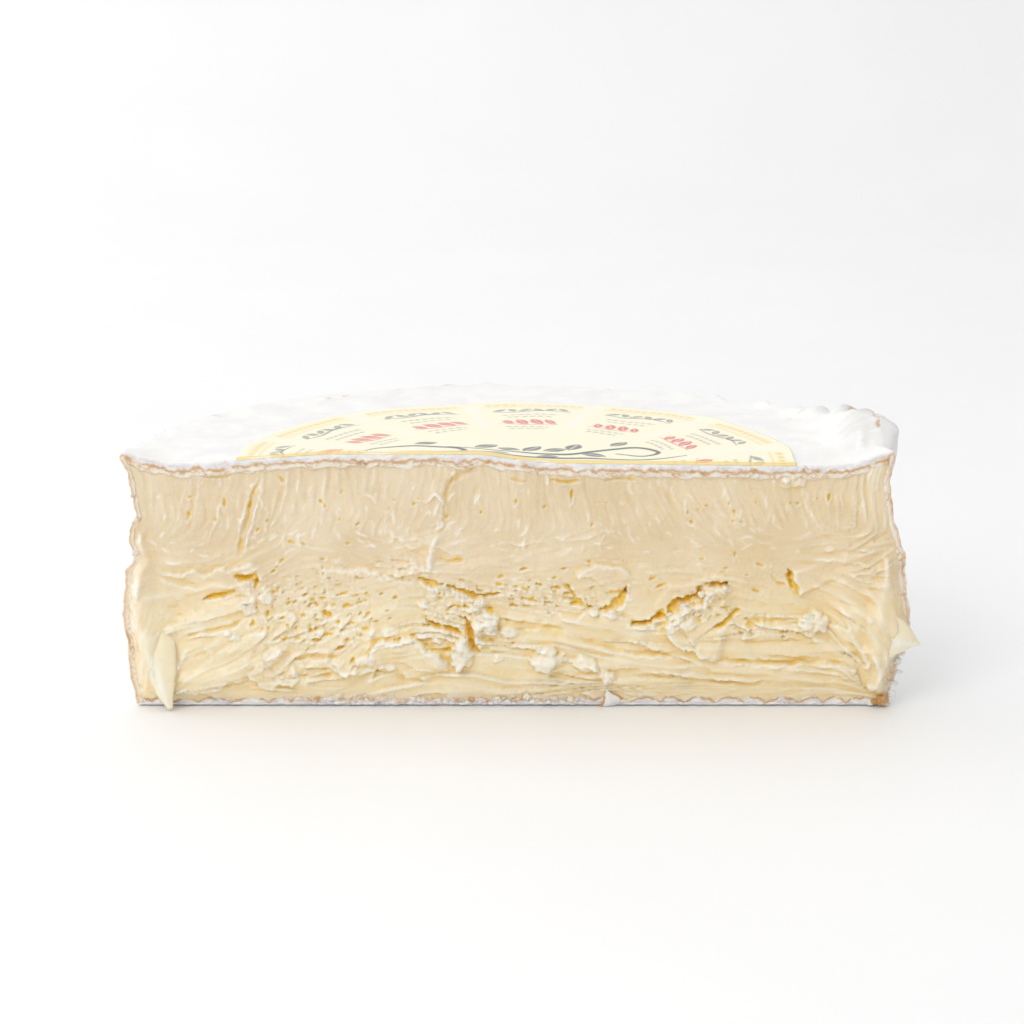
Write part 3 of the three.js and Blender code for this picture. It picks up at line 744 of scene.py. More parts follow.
# Lumps that the knife rolled up: (x, z, half width, half height, rise, lean).
LUMPS = [
    (-5.6, 22.8, 3.6, 3.6, 3.4, 20), (-11.6, 14.4, 3.0, 4.0, 3.4, -10),
    (-7.2, 28.2, 2.0, 1.8, 2.2, 0), (10.4, 14.6, 4.2, 3.0, 3.2, -8),
    (20.8, 12.4, 3.6, 1.9, 2.4, -24), (26.2, 8.8, 2.4, 1.8, 2.0, -20),
    (79.4, 23.8, 3.9, 3.0, 2.8, 35), (73.4, 61.2, 3.4, 2.0, 1.6, 10),
    (-70.8, 19.6, 1.6, 0.8, 0.8, 20), (22.6, 26.8, 1.3, 1.0, 1.5, 0),
    (27.4, 25.8, 1.4, 1.2, 1.5, 0), (52, 32.2, 1.8, 1.2, 1.6, 20), (56.6, 32.4, 1.8, 1.2, 1.4, 0),
    (46, 27.2, 2.2, 1.2, 1.4, 20), (0.6, 20.4, 2.6, 1.2, 1.0, -10),
    (-66.6, 28.4, 2.4, 3.0, 1.2, 30), (-62.6, 30.6, 2.0, 2.2, 1.0, 0),
    (-60.4, 15.4, 3.4, 1.4, 1.1, 45), (-30.4, 21, 2.6, 1.2, 1.0, 10),
    (-22, 20.4, 1.8, 0.9, 0.8, -15), (-18.4, 18.6, 1.6, 0.8, 0.9, -20),
    (-9, 27.2, 1.6, 1.0, 1.2, 0), (-21.4, 28.2, 1.8, 1.2, 0.9, 0), (-2.4, 14, 1.6, 0.9, 0.8, 0),
    (-86, 12, 1.0, 1.6, 0.8, 0), (62, 20.2, 1.3, 1.2, 1.0, 0), (-72.6, 21, 1.2, 0.9, 0.9, 0),
    (46, 23.4, 4.4, 2.0, 1.0, 30), (-37, 13, 3.0, 1.4, 1.2, 20), (-31.4, 11.4, 2.4, 1.0, 1.0, 10),
]

# Calm places, where the smear lies smooth and moist: (x, z, half width, half height).
CALM = [
    (-76, 27, 16, 8), (-82, 14, 12, 9), (-68, 12, 15, 9), (-26, 13, 11, 5), (-94, 22, 6, 15),
    (68, 16.5, 24, 3.5), (22, 22.5, 20, 3.5), (88, 33, 9, 5), (-44, 5, 12, 3), (60, 5, 26, 3),
    (48, 20, 7, 4), (76, 33, 7, 4), (-50, 13, 13, 5), (-36, 16, 10, 8), (-94, 10, 7, 8),
    (32, 12, 16, 4), (97, 22, 6, 16), (-40, 32, 12, 6), (-92, 33, 8, 8),
]

# Patches where the paste tore into crumbs: (x, z, half width, half height, strength).
CRUMBLY = [
    (-50, 27, 19, 12, 0.8), (-64, 32, 8, 6, 1.0), (-14, 24, 12, 11, 1.0), (8, 30, 14, 6, 0.9),
    (24, 29, 9, 5, 0.6), (50, 27, 11, 5, 0.8), (70, 22, 12, 4, 0.9), (-60, 14, 14, 8, 0.5),
    (-26, 37, 12, 5, 0.6), (0, 18, 10, 3, 0.7), (14, 5, 18, 3, 0.5), (-84, 26, 8, 6, 0.3),
]


class CutFace:
    """The relief of the cut face on a grid of x and z, and the marks that colour it."""

    def __init__(self, x, z, cell):
        self.x, self.z, self.cell = x, z, cell
        self.height = np.zeros(x.shape)
        self.amber = np.zeros(x.shape)
        self.white = np.zeros(x.shape)
        weight_x, weight_z = np.zeros(x.shape), np.zeros(x.shape)
        for cx, cz, degrees, reach in DRAGS:
            far = ((x - cx) ** 2 + (1.5 * (z - cz)) ** 2) / reach ** 2
            weight = 1 / (far + 0.1) ** 2
            weight_x += weight * math.cos(2 * math.radians(degrees))
            weight_z += weight * math.sin(2 * math.radians(degrees))
        turn = np.arctan2(weight_z, weight_x) / 2 + 0.22 * swirl(x / 11, z / 8, 2)
        self.way_x, self.way_z = np.cos(turn), np.sin(turn)

    def drag(self, grid, reach):
        """Smears a grid of values along the knife's way, by reach millimetres each way."""
        rows, columns = grid.shape
        stride = 1.4
        steps = max(2, int(reach / self.cell / stride))
        total, weights = grid.copy(), 1.0
        for direction in (-stride, stride):
            row, column = np.mgrid[0:rows, 0:columns].astype(float)
            last_x, last_z = self.way_x, self.way_z
            for n in range(1, steps):
                r = np.clip(np.rint(row), 0, rows - 1).astype(int)
                c = np.clip(np.rint(column), 0, columns - 1).astype(int)
                way_x, way_z = self.way_x[r, c], self.way_z[r, c]
                same = np.where(way_x * last_x + way_z * last_z < 0, -1.0, 1.0)
                last_x, last_z = way_x * same, way_z * same
                row, column = row + direction * last_z, column + direction * last_x
                r = np.clip(np.rint(row), 0, rows - 1).astype(int)
                c = np.clip(np.rint(column), 0, columns - 1).astype(int)
                fade = 1 - n / steps
                total += fade * grid[r, c]
                weights += fade
        smeared = total / weights
        return smeared / smeared.std()

    def near(self, points, reach):
        """The part of the grid around some points, as a mask."""
        x, z = np.array(points, float).T
        inside = (self.x > x.min() - reach) & (self.x < x.max() + reach)
        return inside & (self.z > z.min() - reach) & (self.z < z.max() + reach)

    def beside(self, path, reach):
        """The part of the grid near a curve: its mask, x, z, how far each place lies to the
        left of the curve, and how far along it."""
        here = self.near(path, reach)
        x, z = self.x[here], self.z[here]
        return (here, x, z, *beside(path, x, z))

    def mark(self, here, **marks):
        """Raises the marks named, such as the pale mark with its painted highlights and the golden
        painted shade, to at least these values.
        """
        for name, values in marks.items():
            grid = getattr(self, name)
            grid[here] = np.maximum(grid[here], values)

    def groove(self, path, width, depth, amber, lip):
        """A groove that the knife's edge scored, with a crumbly lip on one side."""
        here, x, z, signed, along = self.beside(path, 6 * width + 2)
        signed = signed + 0.9 * width * layers(x / 3.4, z / 3.4, 40, 3)
        uneven = 0.85 + 0.6 * layers(x / 6, z / 6, 41, 2)
        taper = step(along, 0, 0.18) * (1 - step(along, 0.8, 1)) * np.clip(uneven, 0.1, 1.5)
        cut = bump(signed, width * (0.6 + 0.6 * taper)) * taper
        edge = bump(signed - math.copysign(1.7 * width, lip), 0.7 * width) * taper
        crumbs = 0.5 + 1.1 * (grains(x / 1.3, z / 1.3, 42) - 0.2)
        self.height[here] += abs(lip) * edge * crumbs - 0.8 * depth * cut
        # Painted golden shade in the cut, and pale crumbs with a painted highlight along the lip.
        self.mark(here, amber=amber * step(cut, 0.15, 0.8), white=abs(lip) * edge * crumbs)

    def tear(self, path, widths, depth, lip):
        """A tear with a steep ragged edge, mottled inside, and a crumbly lip below it."""
        here, x, z, signed, along = self.beside(path, 4 * max(widths) + 2)
        width = np.interp(along, np.linspace(0, 1, len(widths)), widths)
        signed = signed + 0.55 * width * layers(x / 2.2, z / 2.2, 52, 3) + 0.2 * swirl(x, z, 53)
        width = width * np.clip(0.85 + 0.9 * layers(x / 4.5, z / 4.5, 55, 2), 0.15, 1.3)
        cut = 1 - step(np.abs(signed) / width, 0.55, 1.35)
        shelf = math.copysign(1, lip) * signed
        steep = cut * (0.6 + 0.4 * step(shelf, -1, 1))
        edge = bump(shelf + 1.9 * width, 0.7 * width + 0.2) * step(along, 0.02, 0.1)
        crumbs = 0.35 + 1.3 * (0.55 - grains(x / 1.1, z / 1.1, 54))
        self.height[here] += abs(lip) * edge * crumbs - 0.8 * depth * steep
        mottled = np.clip(0.75 + 0.5 * layers(x / 1.6, z / 1.3, 56, 3), 0.3, 1)
        self.height[here] += 0.5 * cut * (mottled - 0.75)
        # Painted golden shade, mottled, inside the tear, and pale crumbs with a painted highlight
        # along the lip.
        self.mark(here, amber=mottled * step(cut, 0.2, 0.9),
                  white=min(1, abs(lip)) * 1.2 * edge * crumbs)

    def ridge(self, path, width, rise, white):
        """A ridge that the knife raised, steeper on its right side."""
        here, x, z, signed, along = self.beside(path, 4 * width + 2)
        signed = signed + 0.8 * width * layers(x / 4.6, z / 4.6, 49, 3)
        uneven = np.clip(0.8 + 0.6 * layers(x / 5, z / 5, 50, 2), 0.2, 1.4)
        taper = step(along, 0, 0.25) * (1 - step(along, 0.75, 1)) * uneven
        crest = bump(np.where(signed > 0, signed, 1.5 * signed), 1.15 * width) * taper
        self.height[here] += rise * crest
        # Painted highlight on the crest.
        self.mark(here, white=white * step(crest, 0.45, 1.1))

    def swell(self, path, widths, rise):
        """A soft fold of runny paste, without an edge, with a painted highlight beside its crest.
        """
        here, x, z, signed, along = self.beside(path, 3 * max(widths))
        width = np.interp(along, np.linspace(0, 1, len(widths)), widths)
        signed = signed + 0.3 * width * swirl(x / 8, z / 8, 57)
        crest = bump(signed, width) * (1 + 0.2 * swirl(x / 6, z / 6, 58))
        self.height[here] += rise * crest * step(width, 0, 1.2)
        # Painted highlight beside the crest.
        painted_highlight = bump(signed + 0.25 * width, 0.35 * width)
        self.mark(here, white=0.45 * (painted_highlight * step(swirl(x / 9, z / 9, 59), -0.4, 0.5)))

    def slab(self, path, rise, reach, white):
        """A smear that lies over its neighbour and ends in a ragged edge, with a painted highlight
        on the edge and painted golden shade just outside it.
        """
        here, x, z, signed, along = self.beside(path, 3 * reach)
        ragged = 1.1 * layers(x / 5.5, z / 5.5, 43, 4, 0.55)
        signed = math.copysign(1, rise) * signed + ragged
        ends = step(along, 0, 0.12) * (1 - step(along, 0.88, 1))
        over = step(signed, -0.3, 0.3) * np.exp(-np.clip(signed, 0, None) / reach) * ends
        self.height[here] += abs(rise) * over
        under = 0.2 * abs(rise) * bump(signed + 0.7, 0.5) * ends
        # Painted highlight on the edge, painted golden shade just outside it.
        self.mark(here, white=white * (bump(signed - 0.35, 0.5) * ends),
                  amber=np.clip(under, 0, 0.4))

    def eye(self, cx, cz, length, width, lean, depth):
        """A small hole in the paste, with painted golden shade in it and a painted highlight on
        the lip below it.
        """
        here = self.near([(cx, cz)], 3 * length + 2)
        x, z = self.x[here], self.z[here]
        far = np.hypot(*leaning(x - cx, z - cz, lean, length, width))
        far = far + 0.4 * layers(x / 1.5, z / 1.5, 44, 2)
        pit = 1 - step(far, 0.3, 1.1)
        rim = bump(far - 1.6, 0.4) * step(cz - z, -0.5, 0.6)
        self.height[here] += 0.25 * rim - 0.55 * depth * pit
        # Painted golden shade in the pit, painted highlight on the lip below.
        self.mark(here, amber=0.9 * step(pit, 0.2, 0.85), white=0.3 * rim)

    def lump(self, cx, cz, wide, high, rise, lean):
        """A knobbly lump made of eight domes set in a spiral."""
        here = self.near([(cx, cz)], 2 * max(wide, high) + 1)
        x, z = self.x[here], self.z[here]
        rough = 0.30 * layers(x / 2.4, z / 2.4, 46, 4, 0.6)
        dome = np.zeros(x.shape)
        for n in range(8):
            spin, out = 2.4 * n, 0.62 * math.sqrt(n / 8)
            px = x - cx - wide * out * math.cos(spin)
            pz = z - cz - high * out * math.sin(spin)
            size = 0.62 - 0.22 * math.sin(3.7 * n + cx)
            far = np.hypot(*leaning(px, pz, lean, wide, high)) / size
            part = 1 - np.clip(far + rough, 0, 1) ** 2
            dome = np.maximum(dome, (0.7 + 0.3 * math.cos(5.1 * n + cz)) * np.sqrt(part))
        self.height[here] += rise * dome
        # Painted highlight on the domes' tops; the golden painted shade is taken off the domes.
        self.mark(here, white=0.6 * step(dome, 0.3, 0.9))
        self.amber[here] *= 1 - 0.8 * step(dome, 0.1, 0.4)

    def patch(self, cx, cz, wide, high):
        """1 inside an oval, fading to 0 outside, with a ragged edge."""
        ragged = 0.35 * layers(self.x / 7, self.z / 7, 48, 3)
        return 1 - step(np.hypot((self.x - cx) / wide, (self.z - cz) / high) + ragged, 0.5, 1.1)


def shelves(value, edge):
    """Turns a smooth rise into shelves: each climbs slowly and ends in a sudden drop."""
    part = value - np.floor(value)
    return part * (1 - step(part, 1 - edge, 1))


def lay_strokes(face):
    """The broad forms of the face and the strokes of the knife in each part of it."""
    x, z = face.x, face.z
    wave = 2.6 * layers(x / 24, z / 14, 5, 2)
    upper = step(z + wave, 37, 44)
    lower = 1 - step(z + wave, 22, 31)
    middle = 1 - np.clip(upper + lower, 0, 1)
    ends = (1 - step(x + 0.1 * z, -94, -86)) + step(x - 0.05 * z, 80, 90)

    face.height += 2.0 * lower * bump(z - 14, 15) + 0.8 * middle - 0.3 * upper
    face.height += 0.9 * layers(x / 30, z / 16, 6, 2) * (1 - upper)
    face.height += 0.3 * swirl(x / 30, z / 22, 7)
    face.height += 1.8 * ends * bump(z - 24, 22)

    broad = face.drag(layers(x / 6.5, z / 6.5, 10, 2), 34)
    medium = face.drag(layers(x / 2.6, z / 2.6, 13, 2), 20)
    fine = face.drag(layers(x / 1.1, z / 1.1, 16, 2), 6)
    short = face.drag(layers(x / 1.6, z / 1.6, 17, 3), 4)
    crest = 1 - np.abs(medium)

    streaky = step(layers(x / 17, z / 12, 26, 2), -0.3, 0.6)
    face.height += upper * (0.06 * broad + 0.06 * streaky * medium + 0.05 * fine + 0.08 * short)
    # Pale strokes on the upper part, their whiteness partly a painted highlight on the strokes'
    # crests.
    face.white += upper * (0.22 * streaky * step(medium, 1.0, 2.2) + 0.2 * step(short, 1.1, 2.4))

    steps = shelves(0.8 * broad + z / 8.5 + 0.5 * wave / 2.6, 0.14)
    small = shelves(0.8 * medium + z / 3.4, 0.25)
    rough = step(layers(x / 19, z / 8, 19, 2), -0.1, 0.6)
    calm = np.zeros(x.shape)
    for place in CALM:
        calm = np.maximum(calm, face.patch(*place))
    rough = rough * (1 - calm)
    large = 1.15 - 0.75 * calm
    face.height += lower * (large * steps + (0.03 + 0.11 * rough) * small + 0.03 * fine)
    # Painted highlight along the upper edge of each shelf and on the crests of the small shelves,
    # and painted golden shade in the hollow just above each drop.
    face.white += lower * (0.4 * large * step(steps, 0.62, 0.85)
                           + 0.3 * rough * step(small, 0.5, 0.7))
    face.amber += lower * 0.15 * large * (1 - step(steps, 0.02, 0.2))

    flakes = 2.0 * layers(x / 12, z / 6.5, 28, 4, 0.55) + 0.35 * broad
    torn = np.floor(flakes) + step(flakes - np.floor(flakes), 0.35, 0.75)
    face.height += middle * (1 - 0.6 * calm) * (0.22 * torn + 0.08 * medium + 0.07 * fine)
    # Painted highlight on crests in the middle part.
    face.white += middle * 0.35 * step(medium + crest, 1.2, 2.0)

    swoops = shelves(0.6 * broad + x / 9, 0.2)
    face.height += ends * (1 - 0.5 * calm) * (0.6 * swoops + 0.12 * medium + 0.05 * fine)
    # Painted highlight on the crests of the swoops and strokes at the ends.
    face.white += ends * (0.35 * step(swoops, 0.6, 0.85) + 0.2 * step(medium, 1.0, 2.0))


def scratch(face):
    """Fine pale strokes, as long as a grain of rice or shorter, pulled up by the knife."""
    chance = random.Random(17)
    for _ in range(230):
        cx, cz = chance.uniform(-92, 92), chance.gauss(50, 9)
        if not 30 < cz < 61:
            continue
        cell = np.hypot(face.x - cx, face.z - cz).argmin()
        way = math.atan2(face.way_z.flat[cell], face.way_x.flat[cell]) + chance.gauss(0, 0.45)
        half, bend = chance.uniform(0.7, 2.6), chance.gauss(0, 0.2)
        dx, dz = half * math.cos(way), half * math.sin(way)
        path = [(cx - dx, cz - dz), (cx - bend * dz, cz + bend * dx), (cx + dx, cz + dz)]
        here, _, _, signed, along = face.beside(path, 1.2)
        line = bump(signed, chance.uniform(0.22, 0.34)) * step(along, 0, 0.3)
        line = line * (1 - step(along, 0.7, 1))
        face.height[here] += chance.uniform(0.04, 0.16) * line
        # The strokes are paler, and their white is partly a painted highlight.
        face.white[here] += chance.uniform(0.25, 0.9) * line


def crumble(face):
    """Porous, crumbly patches, where the paste tore instead of smearing; returns where."""
    x, z = face.x, face.z
    patches = np.zeros(x.shape)
    for cx, cz, wide, high, strength in CRUMBLY:
        patches = np.maximum(patches, strength * face.patch(cx, cz, wide, high))
    fine = 0.5 - grains(x / 1.35, z / 1.1, 60)
    coarse = 0.5 - grains(x / 3.2, z / 2.3, 61)
    rubble = layers(x / 3.4, z / 2.4, 63, 4, 0.65)
    face.height += patches * (0.36 * fine + 0.26 * coarse + 0.28 * rubble)
    pores = step(face.drag(layers(x / 1.2, z / 1.0, 62, 2), 1.6), 1.35, 2.1) * patches
    face.height -= 0.9 * pores
    # Painted golden shade in the pores.
    face.amber = np.maximum(face.amber, 0.7 * pores)
    specks = step(fine, 0.12, 0.4) * step(layers(x / 2.6, z / 2.2, 64, 2), -0.1, 0.5)
    face.height += 0.25 * patches * specks
    # Pale crumbs and specks, their white partly a painted highlight on the raised bits.
    face.white += patches * (0.3 * step(fine + coarse + rubble, 0.35, 1.1) + 0.8 * specks)
    return patches


def shape_cut_face(x, z, cell):
    """The relief and the colour marks of the whole cut face."""
    face = CutFace(x, z, cell)
    lay_strokes(face)
    patches = crumble(face)
    scratch(face)
    for shape, places in ((face.swell, SWELLS), (face.slab, SLABS), (face.ridge, RIDGES),
                          (face.groove, GROOVES), (face.tear, TEARS), (face.lump, LUMPS),
                          (face.eye, EYES)):
        for place in places:
            shape(*place)
    around = soften(face.height, 2.0 / cell)
    wider = soften(face.height, 5 / cell)
    # Painted golden shade where the face lies more than a quarter millimetre below its 2 mm
    # surroundings.
    hollow = np.clip((around - face.height - 0.25) / 1.3, 0, 1)
    # Painted shade on the undersides of lips, where the face climbs going up and so faces down.
    climb = np.gradient(soften(face.height, 1), axis=0) / cell
    under = np.clip((climb - 0.25) / 1.1, 0, 0.7)
    # Painted highlight where the face stands proud of its 2 mm surroundings.
    proud = np.clip((face.height - around - 0.08) / 0.6, 0, 1)
    # A warmer tint towards the right of the face, laid in with the fold colour.
    warm = 0.15 * step(x, -30, 80)
    # Dark brown in the deepest parts of some tears, only where the golden painted shade is strong.
    burnt = np.zeros(x.shape)
    for cx, cz, wide, high in DARK_TEAR_SPOTS:
        far = np.hypot((x - cx) / wide, (z - cz) / high) + 0.4 * layers(x / 1.2, z / 1.2, 66, 2)
        burnt = np.maximum(burnt, 0.85 * (1 - step(far, 0.4, 1.3)))
    marks = {
        "burnt": burnt * (face.amber > 0.3),
        "amber": np.clip(0.94 * face.amber + 0.65 * hollow + 0.15 * under, 0, 1),
        "white": np.clip(0.95 * face.white + 0.8 * proud, 0, 1),
        # Painted shade in hollows below their 5 mm surroundings and under lips, plus the warmer
        # tint on the right.
        "shade": np.clip((wider - face.height - 0.05) / 1.9 + 0.7 * under, 0, 0.6) + warm,
        "glow": np.clip((1 - step(z, 24, 42)) * 0.9 - 0.2 * patches, 0, 1),
    }
    return face.height, marks


class CHEESE_OT_paste(bpy.types.Operator):
    """Makes the cut half's paste, with the torn and smeared face that the knife left"""

    bl_idname = "cheese.paste"
    bl_label = "Add Paste"

    def execute(self, context):
        sizes = context.scene.cheese_paste
        cell = sizes.grid_step
        inset = sizes.inset
        columns, rows = int(2 * RADIUS / cell), int(HEIGHT / cell)
        across = np.linspace(0, 1, columns)[None, :].repeat(rows, 0)
        up = np.linspace(0, 1, rows)[:, None].repeat(columns, 1)
        level = inset + up * (HEIGHT - 2 * inset)
        low_x = -follow(LEFT_SIDE, level) + inset
        high_x = follow(RIGHT_SIDE, level) - inset
        x = low_x + across * (high_x - low_x)
        z = inset + up * (top_height(x, 0) - 2 * inset)
        height, marks = shape_cut_face(x, z, cell)
        above_foot = (z - inset) * (0.8 - 0.25 * step(x, 18, 30))
        border = np.minimum.reduce([above_foot, top_height(x, 0) - inset - z,
                                    x - low_x, high_x - x])
        height = height * step(border, 0, 3.5) + 0.25 * step(border, -1, 2)
        droop = np.clip(height - soften(height, 1.6 / cell), 0, None)
        front = to_frame(x, -height, z - 0.35 * droop * step(border, 0, 3))
        index = np.arange(rows * columns).reshape(rows, columns)
        ring = np.concatenate([index[0], index[1:, -1], index[-1, -2::-1], index[-2:0:-1, 0]])
        back = front[ring] + np.array([0, sizes.plate_depth * MM, 0])
        behind = len(front) + np.arange(len(ring))
        faces = [*grid_faces(rows, columns), *band(ring, behind), behind.tolist()]
        points = np.vstack([front, back])
        filled = {name: np.concatenate([values.ravel(), np.zeros(len(ring))])
                  for name, values in marks.items()}
        piece = make_mesh("paste", points, faces, filled)
        face_out(piece)
        settle(piece, ripened_paste(), "cheese_half")
        return {"FINISHED"}


# ------------------------------------------------------------------------ the rind


# Folds rubbed through to the tan skin near the far rim: (angle, radius, half angle, rise).
RUBBED_FOLDS = [
    (0.12, 93, 0.03, 1.0), (0.17, 98, 0.03, 1.2), (0.74, 98, 0.03, 2.6), (0.69, 96, 0.03, 1.4),
    (0.9, 97, 0.02, 1.2), (1.33, 98, 0.05, 2.6), (1.41, 99, 0.05, 2.4), (1.65, 97, 0.06, 1.0),
    (1.76, 96, 0.06, 0.9), (1.9, 94, 0.045, 0.8), (2.1, 91, 0.04, 0.8), (2.18, 89, 0.04, 0.8),
]


# The way along the skin, in stretches: (from, to, points); the last has its end as well.
SKIN_WAY = ((0, 0.8, 60), (0.8, 1, 34), (1, 2, 12), (2, 3, 78), (3, 4, 8), (4, 5, 26))
SPOKES = 300  # points round the half, closer together near the cut
RECESS = 6.0  # how far back the hollow that holds the paste goes


def wrinkle(p, theta, x, depth):
    """How far the bloomy skin stands out of its smooth form, and where it is worn."""
    arc = theta * RADIUS
    down = np.where(p < 2, 0, (p - 2) * HEIGHT)
    flat = 0.35 * layers(x / 9, depth / 9, 70, 3) + 0.2 * creases(x / 14, depth / 14, 74, 2)
    upright = 0.45 * layers(arc / 14, down / 9, 77, 3)
    upright = upright + 0.65 * creases(arc / 11, (down + 0.25 * arc) / 6, 80, 3)
    turned = step(p, 1, 2)
    rise = flat * (1 - turned) * step(np.hypot(x, depth), 60, 90) + upright * turned
    rim = bump(p - 1.35, 0.55)
    rough_rim = creases(arc / 7, p * 1.5, 84, 2)
    torn_hem = flap_rise(x, depth) * layers(arc / 2.6, p * 0.6, 90, 4, 0.6)
    rise = rise + rim * (0.5 * rough_rim + 2.4 * torn_hem)
    worn = 0.6 * rim * step(rough_rim, 0.25, 0.8) * step(layers(arc / 22, p, 86, 2), -0.1, 0.4)
    worn = worn + turned * 0.5 * step(upright, 0.45, 0.95)
    thin = rim * flap_rise(x, depth)
    worn = worn * (1 - 0.6 * thin) + 0.14 * thin + 0.1 * rim * step(torn_hem, 0.2, 0.6)
    radius = np.hypot(x, depth) + 2.0 * swirl(theta * 9, p * 0, 88)
    for angle, at, half, high in RUBBED_FOLDS:
        fold = bump(theta - angle, half) * bump(radius - at, 1.1) * (p < 1.9)
        rise = rise + high * fold
        worn = worn + 0.42 * fold
    return rise * (1 - step(p, 3.2, 3.9)), np.clip(worn, 0, 1)


class CHEESE_OT_rind(bpy.types.Operator):
    """Makes the bloomy rind: the top, side and underside, with a recess that holds the paste"""

    bl_idname = "cheese.rind"
    bl_label = "Add Rind"

    def execute(self, context):
        sizes = context.scene.cheese_rind
        way = np.concatenate([np.linspace(low, high, count, endpoint=high == 5)
                              for low, high, count in SKIN_WAY])
        even = np.linspace(0, 1, SPOKES)
        theta = math.pi * (even - 0.11 * np.sin(2 * math.pi * even))
        p, angle = np.meshgrid(way, theta, indexing="ij")
        x, depth, z = outside(p, angle)
        rise, worn = wrinkle(p, angle, x, depth)
        fade = step(np.minimum(angle, math.pi - angle) * np.hypot(x, depth), 0, 5)
        rise = rise * fade
        turned = step(p, 1, 2)
        radius = np.clip(np.hypot(x, depth), 1e-6, None)
        push = rise * turned / radius
        lifted = sizes.shadow_gap * step(p, 3.2, 3.9) * (1 - step(depth, 3, 8))
        x, depth, z = x + push * x, depth + push * depth, z + rise * (1 - turned) + lifted
        rows, columns = x.shape
        index = np.arange(rows * columns).reshape(rows, columns)
        ring = np.concatenate([index[:, 0], index[-2:0:-1, -1]])
        loop_x, loop_z = x.ravel()[ring], z.ravel()[ring]
        points, faces = [to_frame(x, depth, z)], grid_faces(rows, columns)
        squeeze_x, squeeze_z = 1 - sizes.thickness / RADIUS, 1 - 2 * sizes.thickness / HEIGHT
        before, start = ring, rows * columns
        for back in (0.0, RECESS):
            points.append(to_frame(loop_x * squeeze_x, back,
                                   HEIGHT / 2 + (loop_z - HEIGHT / 2) * squeeze_z))
            now = start + np.arange(len(ring))
            faces += band(before, now)
            before, start = now, start + len(ring)
        faces.append(before.tolist())
        worn = np.concatenate([worn.ravel(), np.zeros(2 * len(ring))])
        piece = make_mesh("rind", np.vstack(points), faces, {"worn": worn})
        face_out(piece)
        settle(piece, mould_bloom(), "cheese_half")
        return {"FINISHED"}


def mixed(colour, other, amount):
    """Mixes rows of colours by an amount for each row."""
    return colour + (np.asarray(other) - colour) * np.clip(amount, 0, 1)[..., None]


def edge_zones(way, x):
    """How far each point of the outline belongs to the top, the left, the right, the foot."""
    top = 1 - step(way, 0.93, 1.7)
    foot = step(way, 3.2, 4.0)
    side = 1 - top - foot
    return top, side * (x < 0), side * (x > 0), foot


def rubbly_foot(x):
    """Where along the foot the knife left rubble of rind and paste, 0 to 1."""
    return step(x, -64, -52) * (1 - step(x, 18, 24))


def edge_width(s, way, x, z):
    """Width of the torn edge: broad on top, thin beside the upper paste, scalloped below."""
    top, left, right, foot = edge_zones(way, x)
    swell = layers(s / 7, s * 0, 96, 3)
    scallops = np.abs(np.sin(math.pi * s / 7.4 + 1.5 * swirl(s / 17, s * 0, 99))) ** 0.7
    peak = 3.0 * np.exp(-np.abs(x - 27.0) / 2.4) + 0.9 * rubbly_foot(x)
    low = 1 - step(z, 38, 46)
    width = top * (3.5 + 0.8 * swell) + foot * (1.2 + 2.7 * scallops + 0.6 * swell + peak)
    width += left * (1.1 + 1.2 * low + 0.4 * swell) + right * (1.4 + 1.6 * low + 0.5 * swell)
    return np.clip(width + 0.35 * np.abs(swirl(s / 2.3, s * 0, 97)), 0.9, None)


